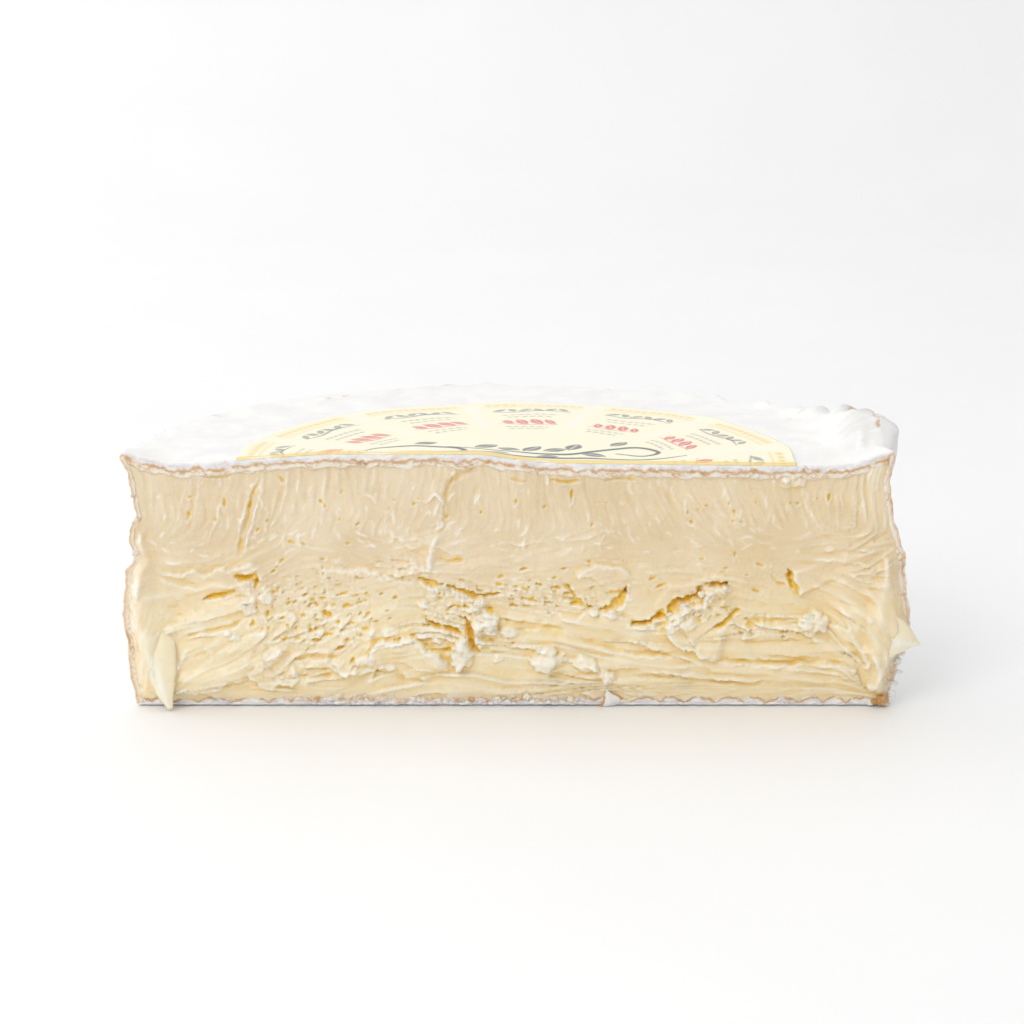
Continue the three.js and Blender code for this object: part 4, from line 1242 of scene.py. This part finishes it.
def edge_paint(u, width, s, way, x, rind):
    """Colour of the torn edge: u is 0 at the outside and 1 at the paste."""
    top, left, right, foot = edge_zones(way, x)
    deep = u * width
    patch = step(layers(s / 4.4, deep / 2.2, 95, 3), -0.35, 0.45)
    loops = bump(swirl(s / 2.7, deep / 1.5, 93), 0.13)
    loops = loops + 0.6 * bump(swirl(s / 1.6, deep, 92), 0.12)
    loops = loops * step(layers(s / 5, deep / 3, 94, 2), -0.5, 0.3)
    line_at = top * (0.46 + 0.22 * layers(s / 5.5, s * 0, 91, 3))
    line_at = line_at + 0.66 * foot + 0.2 * (left + right)
    line_at = line_at + 0.09 * swirl(s / 1.7, s * 0, 90) * (top + foot)
    thin = 0.36 + 0.22 * swirl(s / 3.3, s * 0, 89)
    line = bump((u - line_at) * width, np.clip(thin, 0.1, 0.6))
    blotch = step(layers(s / 2.6, deep / 1.5, 85, 3), 0.3, 0.7) * bump((u - line_at) * width, 0.9)
    faded = 1 - 0.75 * step(layers(s / 4.6, s * 0, 84, 3), 0.25, 0.6)
    line = np.clip(line * faded + 0.9 * blotch * (top + foot + right), 0, 1)
    inner = step(u - line_at, 0, 0.12)

    colour = np.ones((*u.shape, 3)) * np.array(rind.bloom)
    # Painted shade: patches of lilac-grey over the bloom on the top band, along the foot and on
    # the right.
    colour = mixed(colour, rind.lilac, patch * (0.75 * top + foot + 0.5 * right))
    colour = mixed(colour, rind.lip, inner * (top + foot))
    colour = mixed(colour, rind.blush, (left + 0.6 * right) * step(u, 0.02, 0.25))
    colour = mixed(colour, rind.skin, loops * (0.75 * inner * top + 0.4 * left + 0.8 * right))
    colour = mixed(colour, rind.skin, 0.95 * line * (top + foot + 0.6 * left + 0.6 * right))
    corner = bump(np.abs(x) - 100.5, 4.5) * top * step(u, -0.1, 0.3)
    colour = mixed(colour, rind.skin, 0.75 * corner)
    dark = step(layers(s / 9, deep / 4, 88, 2), 0.45, 0.8)
    colour = mixed(colour, rind.scorched, 0.6 * dark * np.clip(loops + line, 0, 1))
    rubble = foot * rubbly_foot(x) * step(layers(s / 1.7, deep / 1.2, 82, 3), 0.05, 0.4)
    colour = mixed(colour, rind.blush, 0.6 * foot * rubbly_foot(x) * step(u, 0.3, 0.6))
    colour = mixed(colour, rind.skin, 0.6 * rubble * step(u, 0.2, 0.5))
    colour = mixed(colour, bpy.context.scene.cheese_paste.ivory, step(u, 0.86, 1.0))
    return colour, loops, line


# The hidden back of the torn edge: (share of its width inwards, how far it stands out).
EDGE_BACK = [(0.9, -0.6), (0.45, -1.6), (0.1, -2.2), (-0.05, -1.6), (-0.05, -0.5)]
EDGE_ROWS = 19  # points across the front of the edge


class CHEESE_OT_rind_edge(bpy.types.Operator):
    """Makes the torn edge of the rind, a ragged band that runs all round the cut face"""

    bl_idname = "cheese.rind_edge"
    bl_label = "Add Rind Edge"

    def execute(self, context):
        rind = context.scene.cheese_rind
        x, z, in_x, in_z, way = cut_outline(rind.edge_step)
        count = len(x)
        s = np.arange(count) * rind.edge_step
        width = edge_width(s, way, x, z)
        _, left, right, foot = edge_zones(way, x)
        u = np.linspace(0, 1, EDGE_ROWS)[:, None] * np.ones(count)
        across = [np.broadcast_to(line, u.shape) for line in (width, s, way, x)]
        colour, loops, line = edge_paint(u, *across, rind)
        deep = u * width
        relief = 0.5 + 0.34 * layers(s[None] / 2.6, deep / 1.5, 98, 4, 0.6)
        relief = relief + 0.26 * np.clip(loops, 0, 1) + 0.22 * line - 0.3 * foot * (u > 0.5)
        bits = 0.5 - grains(s[None] / 1.5 + 0 * u, deep / 1.3, 81)
        relief = relief * (1 - 0.5 * (left + right)) + 1.5 * foot * rubbly_foot(x) * bits
        relief = relief * step(u, -0.15, 0.12) * (1 - step(u, 0.8, 1.0)) + 0.12
        back_u, back_out = np.array(EDGE_BACK).T
        inward = np.vstack([deep, back_u[:, None] * width[None]])
        forward = np.vstack([relief, back_out[:, None] * np.ones(count)])
        ragged = (left + right) * (0.4 * layers(s / 3.6, s * 0, 87, 3) + 0.15)
        inward = inward - ragged * (1 - step(inward / width, 0, 0.8))
        px = x[None] + in_x[None] * inward
        shadow_gap = rind.shadow_gap * foot * step(forward, -0.8, 0)
        pz = np.clip(z[None] + in_z[None] * inward, 0.02, None)
        pz = pz + shadow_gap * (1 - step(pz, 0.5, 1.5))
        points = to_frame(px, -forward, pz)
        rows = len(inward)
        grid = np.arange(rows * count).reshape(rows, count)
        faces = grid_faces(rows, count, closed=True)
        faces += quads(grid[-1], np.roll(grid[-1], -1), np.roll(grid[0], -1), grid[0])
        hidden = np.ones((len(back_u), count, 3)) * np.array(rind.bloom)
        paint = np.vstack([colour, hidden]).reshape(-1, 3)
        piece = make_mesh("rind_edge", points, faces, {"paint": paint})
        face_out(piece)
        settle(piece, torn_rind(), "cheese_half")
        return {"FINISHED"}


# ----------------------------------------------------------------------- the label


def leaf_ink(x, depth, cx, cy, length, width, degrees):
    """Ink of one printed leaf: a lens shape about its middle, with a pale rib."""
    a, b = leaning(x - cx, depth - cy, degrees, length / 2, width / 2)
    inside = 1 - step(np.abs(b) - (1 - np.clip(a * a, 0, 1)), -0.18, 0.12)
    return inside * (1 - 0.6 * bump(b, 0.16) * (np.abs(a) < 0.8)) * (np.abs(a) < 1)


def stroke_ink(x, depth, path, width):
    """Ink of one brush stroke: full along the middle of a curve, thinner at its ends."""
    signed, along = beside(path, x, depth)
    thick = width * (0.35 + 0.65 * np.sin(math.pi * np.clip(along, 0.02, 0.98)))
    return 1 - step(np.abs(signed), thick - 0.25, thick + 0.2)


# The garland across the middle: its stems (curve, half width) and leaves (x, depth from the
# cut, length, width, lean in degrees).
STEMS = [
    ([(-40, 7), (-36, 14), (-27, 17), (-16, 14), (-14, 8), (-22, 5), (-33, 8)], 0.9),
    ([(-18, 16), (-8, 12), (4, 8), (14, 8), (22, 12), (31, 15), (37, 11), (33, 7), (26, 9)], 0.9),
    ([(-30, 3.2), (-8, 2.2), (14, 3.6), (34, 3.4), (44, 7.6)], 0.8),
]
LEAVES = [
    (-8, 17, 8, 4.4, 40), (-2, 13.6, 7, 4, -30), (4, 14, 8, 4.4, 55), (10, 12.4, 7, 4, 20),
    (15, 16, 8, 4.4, 70), (20, 7.4, 7, 3.6, -20), (-5, 6, 7, 3.6, -15), (8, 4.8, 6, 3, 10),
    (27, 20, 7, 4, 50), (-24, 21.4, 7, 4, 30),
]


def label_ink(x, depth, label):
    """Colour of the label's print at each place: ring, wedges, sprigs, lozenges, garland."""
    radius, angle = np.hypot(x, depth), np.degrees(np.arctan2(depth, x))
    paper, gap = np.array(label.paper), np.array(label.gap)
    gold, red, grey = np.array(label.gold), np.array(label.red), np.array(label.grey)
    colour = paper[None] * np.ones((len(x), 3))

    def lay(amount, ink):
        nonlocal colour
        colour = mixed(colour, ink, amount)

    turn = (angle + 4) % 30 - 15
    wedge_edge = bump(np.radians(turn) * radius, 1.3) * step(radius, 40, 45)
    middle = (angle + 19) % 30 - 15
    arc = np.radians(middle) * radius
    beads = 0.3 + 0.7 * step(np.sin(arc * 2.6), -0.6, 0.0)
    lay(0.8 * beads * bump(radius - 68.6, 1.0) * (np.abs(arc) < 14), gold)
    lay(0.5 * bump(radius - 66.2, 0.4) * (np.abs(arc) < 14), gold)
    lay(0.9 * wedge_edge * (1 - step(radius, 69, 70)), gap)
    for ring, half in ((56.5, 8), (54, 6.5), (43, 6), (40.6, 5)):
        dash = 1 - step(np.abs(arc), half - 0.6, half)
        dotted = 0.35 + 0.65 * step(np.sin(arc * 2.9 + ring), -0.5, 0.2)
        lay(0.5 * dash * dotted * bump(radius - ring, 0.5), grey)
    for side, size in ((-6, 1.0), (-2.2, 1.2), (1.8, 1.2), (5.6, 1.0)):
        lay(0.8 * leaf_ink(arc, radius, side, 48.5, 5.4 * size, 2.6 * size, 58), red)
    lay(0.6 * stroke_ink(arc, radius, [(-8, 46.6), (0, 45.6), (8, 47)], 0.35), red)
    for side, lean in ((-9, 50), (-5.4, -40), (-1.8, 50), (1.8, -40), (5.4, 50), (9, -40)):
        lay(0.7 * leaf_ink(arc, radius, side, 62.4, 4.4, 2.0, lean), grey)
    lay(0.7 * stroke_ink(arc, radius, [(-11, 60), (-3, 61.4), (4, 60), (11, 61)], 0.4), grey)
    for stem, width in STEMS:
        lay(0.9 * stroke_ink(x, depth, stem, width), grey)
    for leaf in LEAVES:
        lay(0.85 * leaf_ink(x, depth, *leaf), grey)
    lay(0.8 * (1 - step(depth, 1.4, 2.4)), gold)
    return colour


RINGS, LABEL_SPOKES = 193, 420  # points of the label outwards and round
COARSE = 16  # its underside keeps one ring in sixteen


class CHEESE_OT_label(bpy.types.Operator):
    """Makes the cut half of the round paper label that lies on the top rind"""

    bl_idname = "cheese.label"
    bl_label = "Add Label"

    def execute(self, context):
        label = context.scene.cheese_label
        rings, spokes, coarse = RINGS, LABEL_SPOKES, COARSE
        fall = np.linspace(0.004, 1, rings)[:, None] * np.ones(spokes)
        even = np.linspace(0, 1, spokes)[None, :] * np.ones((rings, 1))
        theta = math.pi * (even - 0.08 * np.sin(2 * math.pi * even))
        ragged = 1 + 0.004 * layers(theta * 9, fall * 0, 110, 3)
        radius = LABEL_RADIUS * fall * (1 + (ragged - 1) * step(fall, 0.8, 1))
        x, depth = radius * np.cos(theta), radius * np.sin(theta)
        wheel_x = x + LABEL_SHIFT
        lie = top_height(wheel_x, depth) + 0.16 * layers(x / 15, depth / 13, 112, 2)
        curl = 0.45 * step(fall, 0.95, 1) * step(swirl(theta * 3.5, fall * 0, 115), 0, 0.6)
        lie = lie + curl - 0.3 * (1 - step(depth, 0, 1.6))
        proud = -0.55 * (1 - step(depth, 0, 0.9))
        upper = to_frame(wheel_x, depth + proud, lie + label.lift + label.thickness)
        under = to_frame(wheel_x[::coarse], (depth + proud)[::coarse], lie[::coarse] + label.lift)
        ink = label_ink(x.ravel(), depth.ravel(), label)
        start, rows = rings * spokes, (rings - 1) // coarse + 1
        index = np.arange(start).reshape(rings, spokes)
        below = start + np.arange(rows * spokes).reshape(rows, spokes)
        faces = grid_faces(rings, spokes)
        faces += [face[::-1] for face in grid_faces(rows, spokes, start)]
        for top_row, low_row in ((index[0], below[0]), (index[-1], below[-1])):
            faces += quads(top_row[:-1], low_row[:-1], low_row[1:], top_row[1:])
        for side in (0, -1):
            for row in range(rows - 1):
                span = index[row * coarse:(row + 1) * coarse + 1, side].tolist()
                faces.append(span + [int(below[row + 1, side]), int(below[row, side])])
        plain = np.tile(np.array(label.paper), (rows * spokes, 1))
        piece = make_mesh("paper_label_print", np.vstack([upper, under]), faces,
                          {"ink": np.vstack([ink, plain])})
        face_out(piece)
        settle(piece, label_paper(), "paper_label")
        return {"FINISHED"}


# ------------------------------------------------------------- pulled and rolled bits


CLEAR = 0.05  # the least height of a strand or crumb above the table


def loft(name, path, wide, thick, seed, rings=60, sides=22):
    """A closed tapering strand along a curve, flattened towards the face; wide and thick are
    half sizes along it."""
    line = curve_through(path, 12)
    lengths = np.linalg.norm(np.diff(line, axis=0), axis=1)
    along = np.concatenate([[0], np.cumsum(lengths)]) / lengths.sum()
    t = np.linspace(0, 1, rings)
    centre = np.stack([np.interp(t, along, line[:, i]) for i in range(3)], axis=1)
    way = np.gradient(centre, axis=0)
    way /= np.linalg.norm(way, axis=1)[:, None]
    side = np.cross(way, (0.0, 1.0, 0.0))
    side /= np.linalg.norm(side, axis=1)[:, None]
    over = np.cross(side, way)
    half_wide = np.interp(t, np.linspace(0, 1, len(wide)), wide)
    half_thick = np.interp(t, np.linspace(0, 1, len(thick)), thick)
    turn = np.linspace(0, 2 * math.pi, sides, endpoint=False)
    tt, aa = np.meshgrid(t, turn, indexing="ij")
    rough = 1 + 0.16 * layers(tt * 3 + np.cos(aa), np.sin(aa) * 1.6 + tt, seed, 3)
    rough = rough + 0.07 * np.sin(5 * aa + 4 * tt) * step(tt, 0.1, 0.4)
    flatter = np.sign(np.sin(aa)) * np.abs(np.sin(aa)) ** 0.7
    ring = (side[:, None] * (half_wide[:, None] * np.cos(aa) * rough)[..., None]
            + over[:, None] * (half_thick[:, None] * flatter * rough)[..., None])
    body = centre[:, None] + ring
    body[..., 2] = np.clip(body[..., 2], CLEAR, None)
    flat = body.reshape(-1, 3)
    points = np.vstack([to_frame(*flat.T), to_frame(*centre[0]), to_frame(*centre[-1])])
    faces = grid_faces(rings, sides, closed=True)
    first, last, count = rings * sides, rings * sides + 1, (rings - 1) * sides
    for i in range(sides):
        j = (i + 1) % sides
        faces += [(first, j, i), (last, count + i, count + j)]
    zeros = np.zeros(len(points))
    white = zeros.copy()
    # Painted highlight: a bright stripe down one face of the strand and a paler side, laid into
    # the white mark.
    painted_highlight = 0.6 * bump(aa - 1.42 * math.pi, 0.3) - 0.2 * np.cos(aa)
    white[:rings * sides] = (0.1 + (0.22 + painted_highlight) * step(tt, 0.35, 0.75)).ravel()
    worn = zeros.copy()
    worn[:rings * sides] = (0.8 * np.abs(np.cos(aa)) ** 3).ravel()
    marks = {"amber": zeros, "burnt": zeros, "white": white, "shade": zeros, "glow": zeros + 1,
             "worn": worn}
    piece = make_mesh(name, points, faces, marks)
    face_out(piece)
    return piece


# Strands: name, path of (x, depth, z), half widths, half thicknesses, slot.
STRANDS = [
    ("hanging_tongue", [(-92, 0, 26), (-91.4, -1.9, 20.5), (-90.4, -3.9, 15.5), (-89.6, -4.8, 10),
                        (-88.8, -4.9, 5), (-88.2, -4.8, 2.4), (-87.7, -4.6, 0.8)],
     [2.6, 3.6, 4.6, 3.9, 3.1, 2.2, 0.7], [0.6, 1.2, 1.7, 1.8, 1.6, 1.1, 0.4], "soft_paste"),
    ("pulled_curl", [(88, -2.0, 21), (95, -3.2, 20.6), (100.5, -3.9, 19.9), (102.3, -3.9, 19.5),
                     (104.4, -3.2, 18.8), (105.8, -2.6, 18.2), (107.4, -1.9, 17.5)],
     [2.5, 5.0, 6.4, 6.6, 5.0, 2.3, 0.25], [0.5, 1.0, 1.3, 1.4, 1.4, 1.0, 0.25], "soft_paste"),
    ("rind_peak", [(27.8, 0.2, 0.4), (27.3, -0.9, 1.8), (26.6, -1.5, 3.4), (26.1, -1.8, 5.0)],
     [3.3, 2.7, 1.2, 0.2], [0.5, 0.8, 0.7, 0.2], "bloomy_rind"),
]


class CHEESE_OT_strands(bpy.types.Operator):
    """Makes the strands of soft paste that hang from the cut face or were pulled out of it,
    and the peak of rind that was folded up over its foot"""

    bl_idname = "cheese.strands"
    bl_label = "Add Strands"

    def execute(self, context):
        for number, (name, path, wide, thick, slot) in enumerate(STRANDS):
            piece = loft(name, path, wide, thick, 130 + 7 * number)
            settle(piece, bpy.data.materials[FINISH_OF[slot]], "cheese_half")
        return {"FINISHED"}


# Loose crumbs of paste on the face: (x, how far it stands out, z, size).
CRUMBS = [
    (-6.4, 2.6, 24.6, 1.7), (-4.0, 2.8, 22.4, 1.5), (-7.4, 2.2, 28.6, 1.2),
    (-11.2, 3.2, 16.4, 1.5), (-13.0, 3.0, 12.4, 1.4), (9.4, 3.2, 16, 1.6), (12.2, 3.1, 13.8, 1.5),
    (20.6, 2.4, 13, 1.2), (78.2, 2.4, 24.4, 1.5), (81.2, 2.5, 22.6, 1.3), (23, 1.4, 26.8, 0.9),
    (27.6, 1.4, 26, 1.0), (73.6, 0.8, 61.6, 0.9), (71.6, 0.7, 60.6, 0.7), (45.8, 1.8, 27.4, 1.1),
    (50.4, 1.6, 30.8, 0.9), (53.2, 1.6, 32, 0.9), (57, 1.3, 32.6, 0.8), (42.2, 1.8, 25.4, 0.9),
    (1.4, 0.9, 3.4, 0.8), (5.2, 1.0, 3.0, 1.0), (8.6, 0.9, 3.6, 0.8), (12.2, 1.0, 2.6, 1.0),
    (16.6, 0.9, 2.2, 0.9), (-2.4, 0.9, 2.6, 0.8), (6.8, 0.7, 5.0, 0.7), (14.4, 0.8, 3.6, 0.6),
    (-30, 0.6, 3.6, 0.8), (-44, 0.7, 3.2, 0.9), (-58, 0.6, 3.4, 0.8), (-20, 0.6, 3.0, 0.7),
    (3.2, 0.8, 4.6, 0.6), (10.4, 0.8, 4.6, 0.6), (-37, 0.6, 3.2, 0.7), (-52, 0.6, 3.0, 0.7),
    (-12, 0.6, 2.8, 0.7),
]
# Torn bits of rind: (x, how far it stands out, z, size, how worn to the tan skin it is).
SCRAPS = [
    (96.4, 1.0, 1.5, 1.1, 0.9), (98.2, 1.2, 2.0, 1.4, 0.65), (99.3, 0.9, 1.0, 0.9, 0.5),
    (95.2, 0.9, 0.9, 0.8, 0.3), (101.4, 0.4, 6.4, 1.1, 0.1), (100.8, 0.5, 3.6, 1.0, 0.1),
    (102.6, 0.2, 9.4, 1.0, 0.0), (102.2, 0.3, 12.4, 0.9, 0.0), (103.2, 0.1, 14.6, 0.8, 0.1),
    (3.4, 0.8, 1.4, 0.8, 0.35), (10.8, 0.8, 1.3, 0.8, 0.3), (-38, 0.8, 2.2, 0.7, 0.6),
    (-49.6, 0.8, 2.2, 0.7, 0.6), (-9.4, 0.9, 2.0, 0.8, 0.6), (-96.2, 0.3, 41.4, 0.8, 0.4),
    (-95.2, 0.3, 50.6, 0.7, 0.5), (-96.2, 0.3, 56.8, 0.6, 0.5), (0.2, 0.8, 1.4, 0.7, 0.3),
    (6.8, 0.8, 1.5, 0.7, 0.35), (14.6, 0.8, 1.3, 0.8, 0.3), (19.6, 0.8, 1.2, 0.7, 0.35),
]


def rolled_bit(name, x, out, z, size, marks):
    """A small knobbly lump, its shape settled by its place, with the same marks all over."""
    ball = bmesh.new()
    bmesh.ops.create_icosphere(ball, subdivisions=4, radius=1)
    offset = Vector((1.3 * x, 3.1 * z, 1.7))
    stretch = Vector((1.0, 0.8, 0.75 + 0.25 * math.sin(5.0 * x)))
    centre = Vector(to_frame(x, -out, z)[0])
    for vert in ball.verts:
        rough = 0.42 * noise.fractal(vert.co * 1.3 + offset, 0.9, 2.1, 4)
        knobs = 0.30 * noise.noise(vert.co * 3.6 + offset)
        vert.co = vert.co * (1 + rough + knobs) * size
        vert.co = Vector(a * b for a, b in zip(vert.co, stretch)) * MM + centre
        vert.co.z = max(vert.co.z, CLEAR * MM)
    mesh = bpy.data.meshes.new(name)
    ball.to_mesh(mesh)
    ball.free()
    return finish_mesh(name, mesh, marks)


class CHEESE_OT_crumbs(bpy.types.Operator):
    """Makes the crumbs of paste and the torn bits of rind that the knife left on the face"""

    bl_idname = "cheese.crumbs"
    bl_label = "Add Crumbs"

    def execute(self, context):
        plain = {"amber": 0, "burnt": 0, "white": 0.6, "shade": 0.1, "glow": 0.5}
        for number, place in enumerate(CRUMBS):
            piece = rolled_bit(f"crumb_{number + 1:02d}", *place, plain)
            paste = bpy.data.materials[FINISH_OF["soft_paste"]]
            settle(piece, paste, "cheese_half")
        for number, (*place, worn) in enumerate(SCRAPS):
            piece = rolled_bit(f"rind_scrap_{number + 1:02d}", *place, {"worn": worn})
            bloom = bpy.data.materials[FINISH_OF["bloomy_rind"]]
            settle(piece, bloom, "cheese_half")
        return {"FINISHED"}


# ------------------------------------------------------------------------- the stage


# The table and the backdrop that it curves up into, in metres.
TABLE_REACH = 6.0
WALL_TOP = 5.0
BEND_RADIUS = 0.4
BEND = np.linspace(0, math.pi / 2, 25)
CAMERA_RIGHT = 1.3  # how far right of the wheel's axis the camera stands
CAMERA_RAISE = 0.2  # added to the camera's height over the top rind


def area_light(name, energy, size, place, aim):
    """A softbox of this power, its size, place and the place it faces in metres."""
    light = bpy.data.lights.new(name, "AREA")
    light.shape = "RECTANGLE"
    light.size, light.size_y = size
    light.energy = energy
    lamp = bpy.data.objects.new(name, light)
    lamp.location = place
    lamp.rotation_euler = (Vector(aim) - Vector(place)).to_track_quat("-Z", "Y").to_euler()
    bpy.context.scene.collection.objects.link(lamp)


class CHEESE_OT_stage(bpy.types.Operator):
    """Sets up the camera, the plain pale table and the soft studio light"""

    bl_idname = "cheese.stage"
    bl_label = "Add Stage"

    def execute(self, context):
        scene = context.scene
        stage = scene.cheese_stage
        bend_x = stage.wall_at - BEND_RADIUS + BEND_RADIUS * np.sin(BEND)
        bend_z = BEND_RADIUS - BEND_RADIUS * np.cos(BEND)
        run = np.concatenate([[-TABLE_REACH], bend_x, [stage.wall_at]])
        rise = np.concatenate([[0.0], bend_z, [WALL_TOP]])
        corners = np.array([(side, y, z) for y, z in zip(run, rise)
                            for side in (-TABLE_REACH, TABLE_REACH)])
        floor = make_mesh("table_top", corners, grid_faces(len(run), 2))
        floor.data.materials.append(pale_table())

        camera = bpy.data.cameras.new("camera")
        camera.lens = stage.lens
        camera.clip_end = 50
        eye = bpy.data.objects.new("camera", camera)
        height = HEIGHT + CAMERA_RAISE + stage.above_top
        eye.location = to_frame(CAMERA_RIGHT, -stage.distance, height)[0]
        eye.rotation_euler = (math.pi / 2 - stage.pitch, 0, 0)
        scene.collection.objects.link(eye)
        scene.camera = eye

        aim = (0, 0, 0.03)
        area_light("overhead", stage.overhead, (2.4, 2.4), (-0.2, 0.3, 1.7), (-0.2, 0.3, 0))
        area_light("key", stage.key, (0.6, 0.6), (-0.5, -0.9, 0.8), aim)
        area_light("wall_wash", stage.wall_wash, (1.0, 1.0), (-1.6, 0.5, 0.8), (-0.8, 1.35, 0.2))
        world = bpy.data.worlds.new("pale_room")
        world.use_nodes = True
        sky = world.node_tree.nodes["Background"]
        sky.inputs["Color"].default_value = (*linear("#ffffff"), 1)
        sky.inputs["Strength"].default_value = stage.room_light
        scene.world = world
        scene.view_settings.view_transform = "Standard"
        return {"FINISHED"}


# ------------------------------------------------------------------------- settings


def colour_setting(name, description, code):
    """A colour that a user can change, its default given as an sRGB hex value."""
    return FloatVectorProperty(name=name, description=description, subtype="COLOR", size=3,
                               min=0, max=1, default=linear(code))


def size_setting(name, description, default, low=0.0, high=1000.0):
    """A length that a user can change, in millimetres."""
    return FloatProperty(name=name, description=description + ", in millimetres",
                         default=default, min=low, max=high)


def power_setting(name, description, default):
    """The power or strength of a light that a user can change."""
    return FloatProperty(name=name, description=description, default=default, min=0)


class CheesePasteSettings(bpy.types.PropertyGroup):
    """Sizes and colours of the paste"""

    grid_step: size_setting("Grid Step", "Spacing of the points of the cut face", 0.37, 0.2, 5)
    inset: size_setting("Inset", "Gap between the paste's edge and the outside of the rind", 1.0)
    plate_depth: size_setting("Plate Depth", "How far back the paste's piece reaches", 5.4)
    ivory: colour_setting("Ivory", "Firm paste", "#e8d4b1")
    cream: colour_setting("Cream", "Cloudy, slightly paler paste", "#f0dfc1")
    smear: colour_setting("Smear", "Runny paste near the rind, more yellow", "#fae9c5")
    # Crest: pale crumbs and strokes, and the colour of the painted highlights on lifted edges,
    # crests and lips.
    crest: colour_setting("Crest", "Thin lifted edges and crumbs", "#fffaef")
    # Fold: the colour of the painted shade in hollows and under lips, also laid as a warmer tint
    # over the right of the face.
    fold: colour_setting("Fold", "Hollows between folds", "#f3d391")
    # The colour of the painted shade in eyes, crevices and hollows, golden where the light sinks
    # in.
    amber: colour_setting("Amber", "Eyes and crevices, where the light sinks in", "#fbcf46")
    # Dark brown, laid into the deepest parts of some tears.
    burnt: colour_setting("Burnt", "Dried tips of the deepest tears", "#9c6a20")


class CheeseRindSettings(bpy.types.PropertyGroup):
    """Sizes and colours of the rind"""

    thickness: size_setting("Thickness", "Thickness of the rind's wall at the cut", 0.8)
    edge_step: size_setting("Edge Step", "Spacing of the points of the torn edge", 0.3, 0.2, 5)
    shadow_gap: size_setting("Shadow Gap", "Lift of the front of the foot off the table", 0.5)
    bloom: colour_setting("Bloom", "White mould bloom", "#f8f7f4")
    # Lilac-grey: painted shade in patches of the torn edge, and a random tone in patches of the
    # bloom.
    lilac: colour_setting("Lilac", "Thin bloom and pith", "#e9e5ea")
    lip: colour_setting("Lip", "White inner lip of the torn edge", "#f9f1e2")
    blush: colour_setting("Blush", "Moist rind beside the paste", "#f7e9d4")
    skin: colour_setting("Skin", "Tan skin under the bloom", "#d4a463")
    scorched: colour_setting("Scorched", "Darkest spots of the skin", "#bf8748")


class CheeseLabelSettings(bpy.types.PropertyGroup):
    """Sizes and colours of the label"""

    thickness: size_setting("Thickness", "Thickness of the paper", 0.15)
    lift: size_setting("Lift", "How far the paper lies above the smooth rind", 0.3)
    paper: colour_setting("Paper", "Cream paper", "#fcf6dd")
    gap: colour_setting("Gap", "Pale gaps between the printed wedges", "#faf7ea")
    gold: colour_setting("Gold", "Golden ring", "#f0d27a")
    red: colour_setting("Red", "Row of slanting strokes", "#d9475c")
    grey: colour_setting("Grey", "Fine lines and brush strokes", "#555d69")


class CheeseStageSettings(bpy.types.PropertyGroup):
    """Camera and light"""

    lens: FloatProperty(name="Lens", description="Focal length on a 36 mm wide sensor",
                        default=91.4, min=10, max=300)
    distance: size_setting("Distance", "Camera to the cut face, along the table", 651.6, 100, 5000)
    above_top: size_setting("Above Top", "Camera's height over the top rind", 143.2, 0, 5000)
    pitch: FloatProperty(name="Pitch", description="How far the camera looks down",
                         default=math.radians(13.63), subtype="ANGLE")
    wall_at: FloatProperty(name="Wall At", description="Place of the backdrop behind the table",
                           default=1.35, min=0.9, unit="LENGTH")
    overhead: power_setting("Overhead", "Power of the overhead softbox, in watts", 12.6)
    key: power_setting("Key", "Power of the smaller softbox, front left, in watts", 4.6)
    wall_wash: power_setting("Wall Wash", "Power of the light on the backdrop, in watts", 6.8)
    room_light: power_setting("Room Light", "Strength of the pale room's light", 0.53)


class CHEESE_PT_panel(bpy.types.Panel):
    """Lists the settings and the pieces in the 3D view's sidebar"""

    bl_idname = "CHEESE_PT_panel"
    bl_label = "Half Cheese Wheel"
    bl_space_type = "VIEW_3D"
    bl_region_type = "UI"
    bl_category = "Cheese"

    def draw(self, context):
        for group in SETTINGS:
            box = self.layout.box()
            settings = getattr(context.scene, group)
            for name in settings.bl_rna.properties.keys():
                if name not in ("rna_type", "name"):
                    box.prop(settings, name)
        for operator in OPERATORS:
            self.layout.operator(operator.bl_idname)


SETTINGS = {
    "cheese_paste": CheesePasteSettings,
    "cheese_rind": CheeseRindSettings,
    "cheese_label": CheeseLabelSettings,
    "cheese_stage": CheeseStageSettings,
}
OPERATORS = (CHEESE_OT_stage, CHEESE_OT_paste, CHEESE_OT_rind, CHEESE_OT_rind_edge,
             CHEESE_OT_label, CHEESE_OT_strands, CHEESE_OT_crumbs)


def register():
    """Registers the classes and gives every scene the settings."""
    for item in (*SETTINGS.values(), *OPERATORS, CHEESE_PT_panel):
        bpy.utils.register_class(item)
    for name, group in SETTINGS.items():
        setattr(bpy.types.Scene, name, PointerProperty(type=group))


def unregister():
    """Takes the settings and the classes away again."""
    for name in SETTINGS:
        delattr(bpy.types.Scene, name)
    for item in reversed((*SETTINGS.values(), *OPERATORS, CHEESE_PT_panel)):
        bpy.utils.unregister_class(item)


def main():
    """Builds the stage and every piece."""
    register()
    bpy.ops.cheese.stage()
    bpy.ops.cheese.paste()
    bpy.ops.cheese.rind()
    bpy.ops.cheese.rind_edge()
    bpy.ops.cheese.label()
    bpy.ops.cheese.strands()
    bpy.ops.cheese.crumbs()


if __name__ == "__main__":
    main()
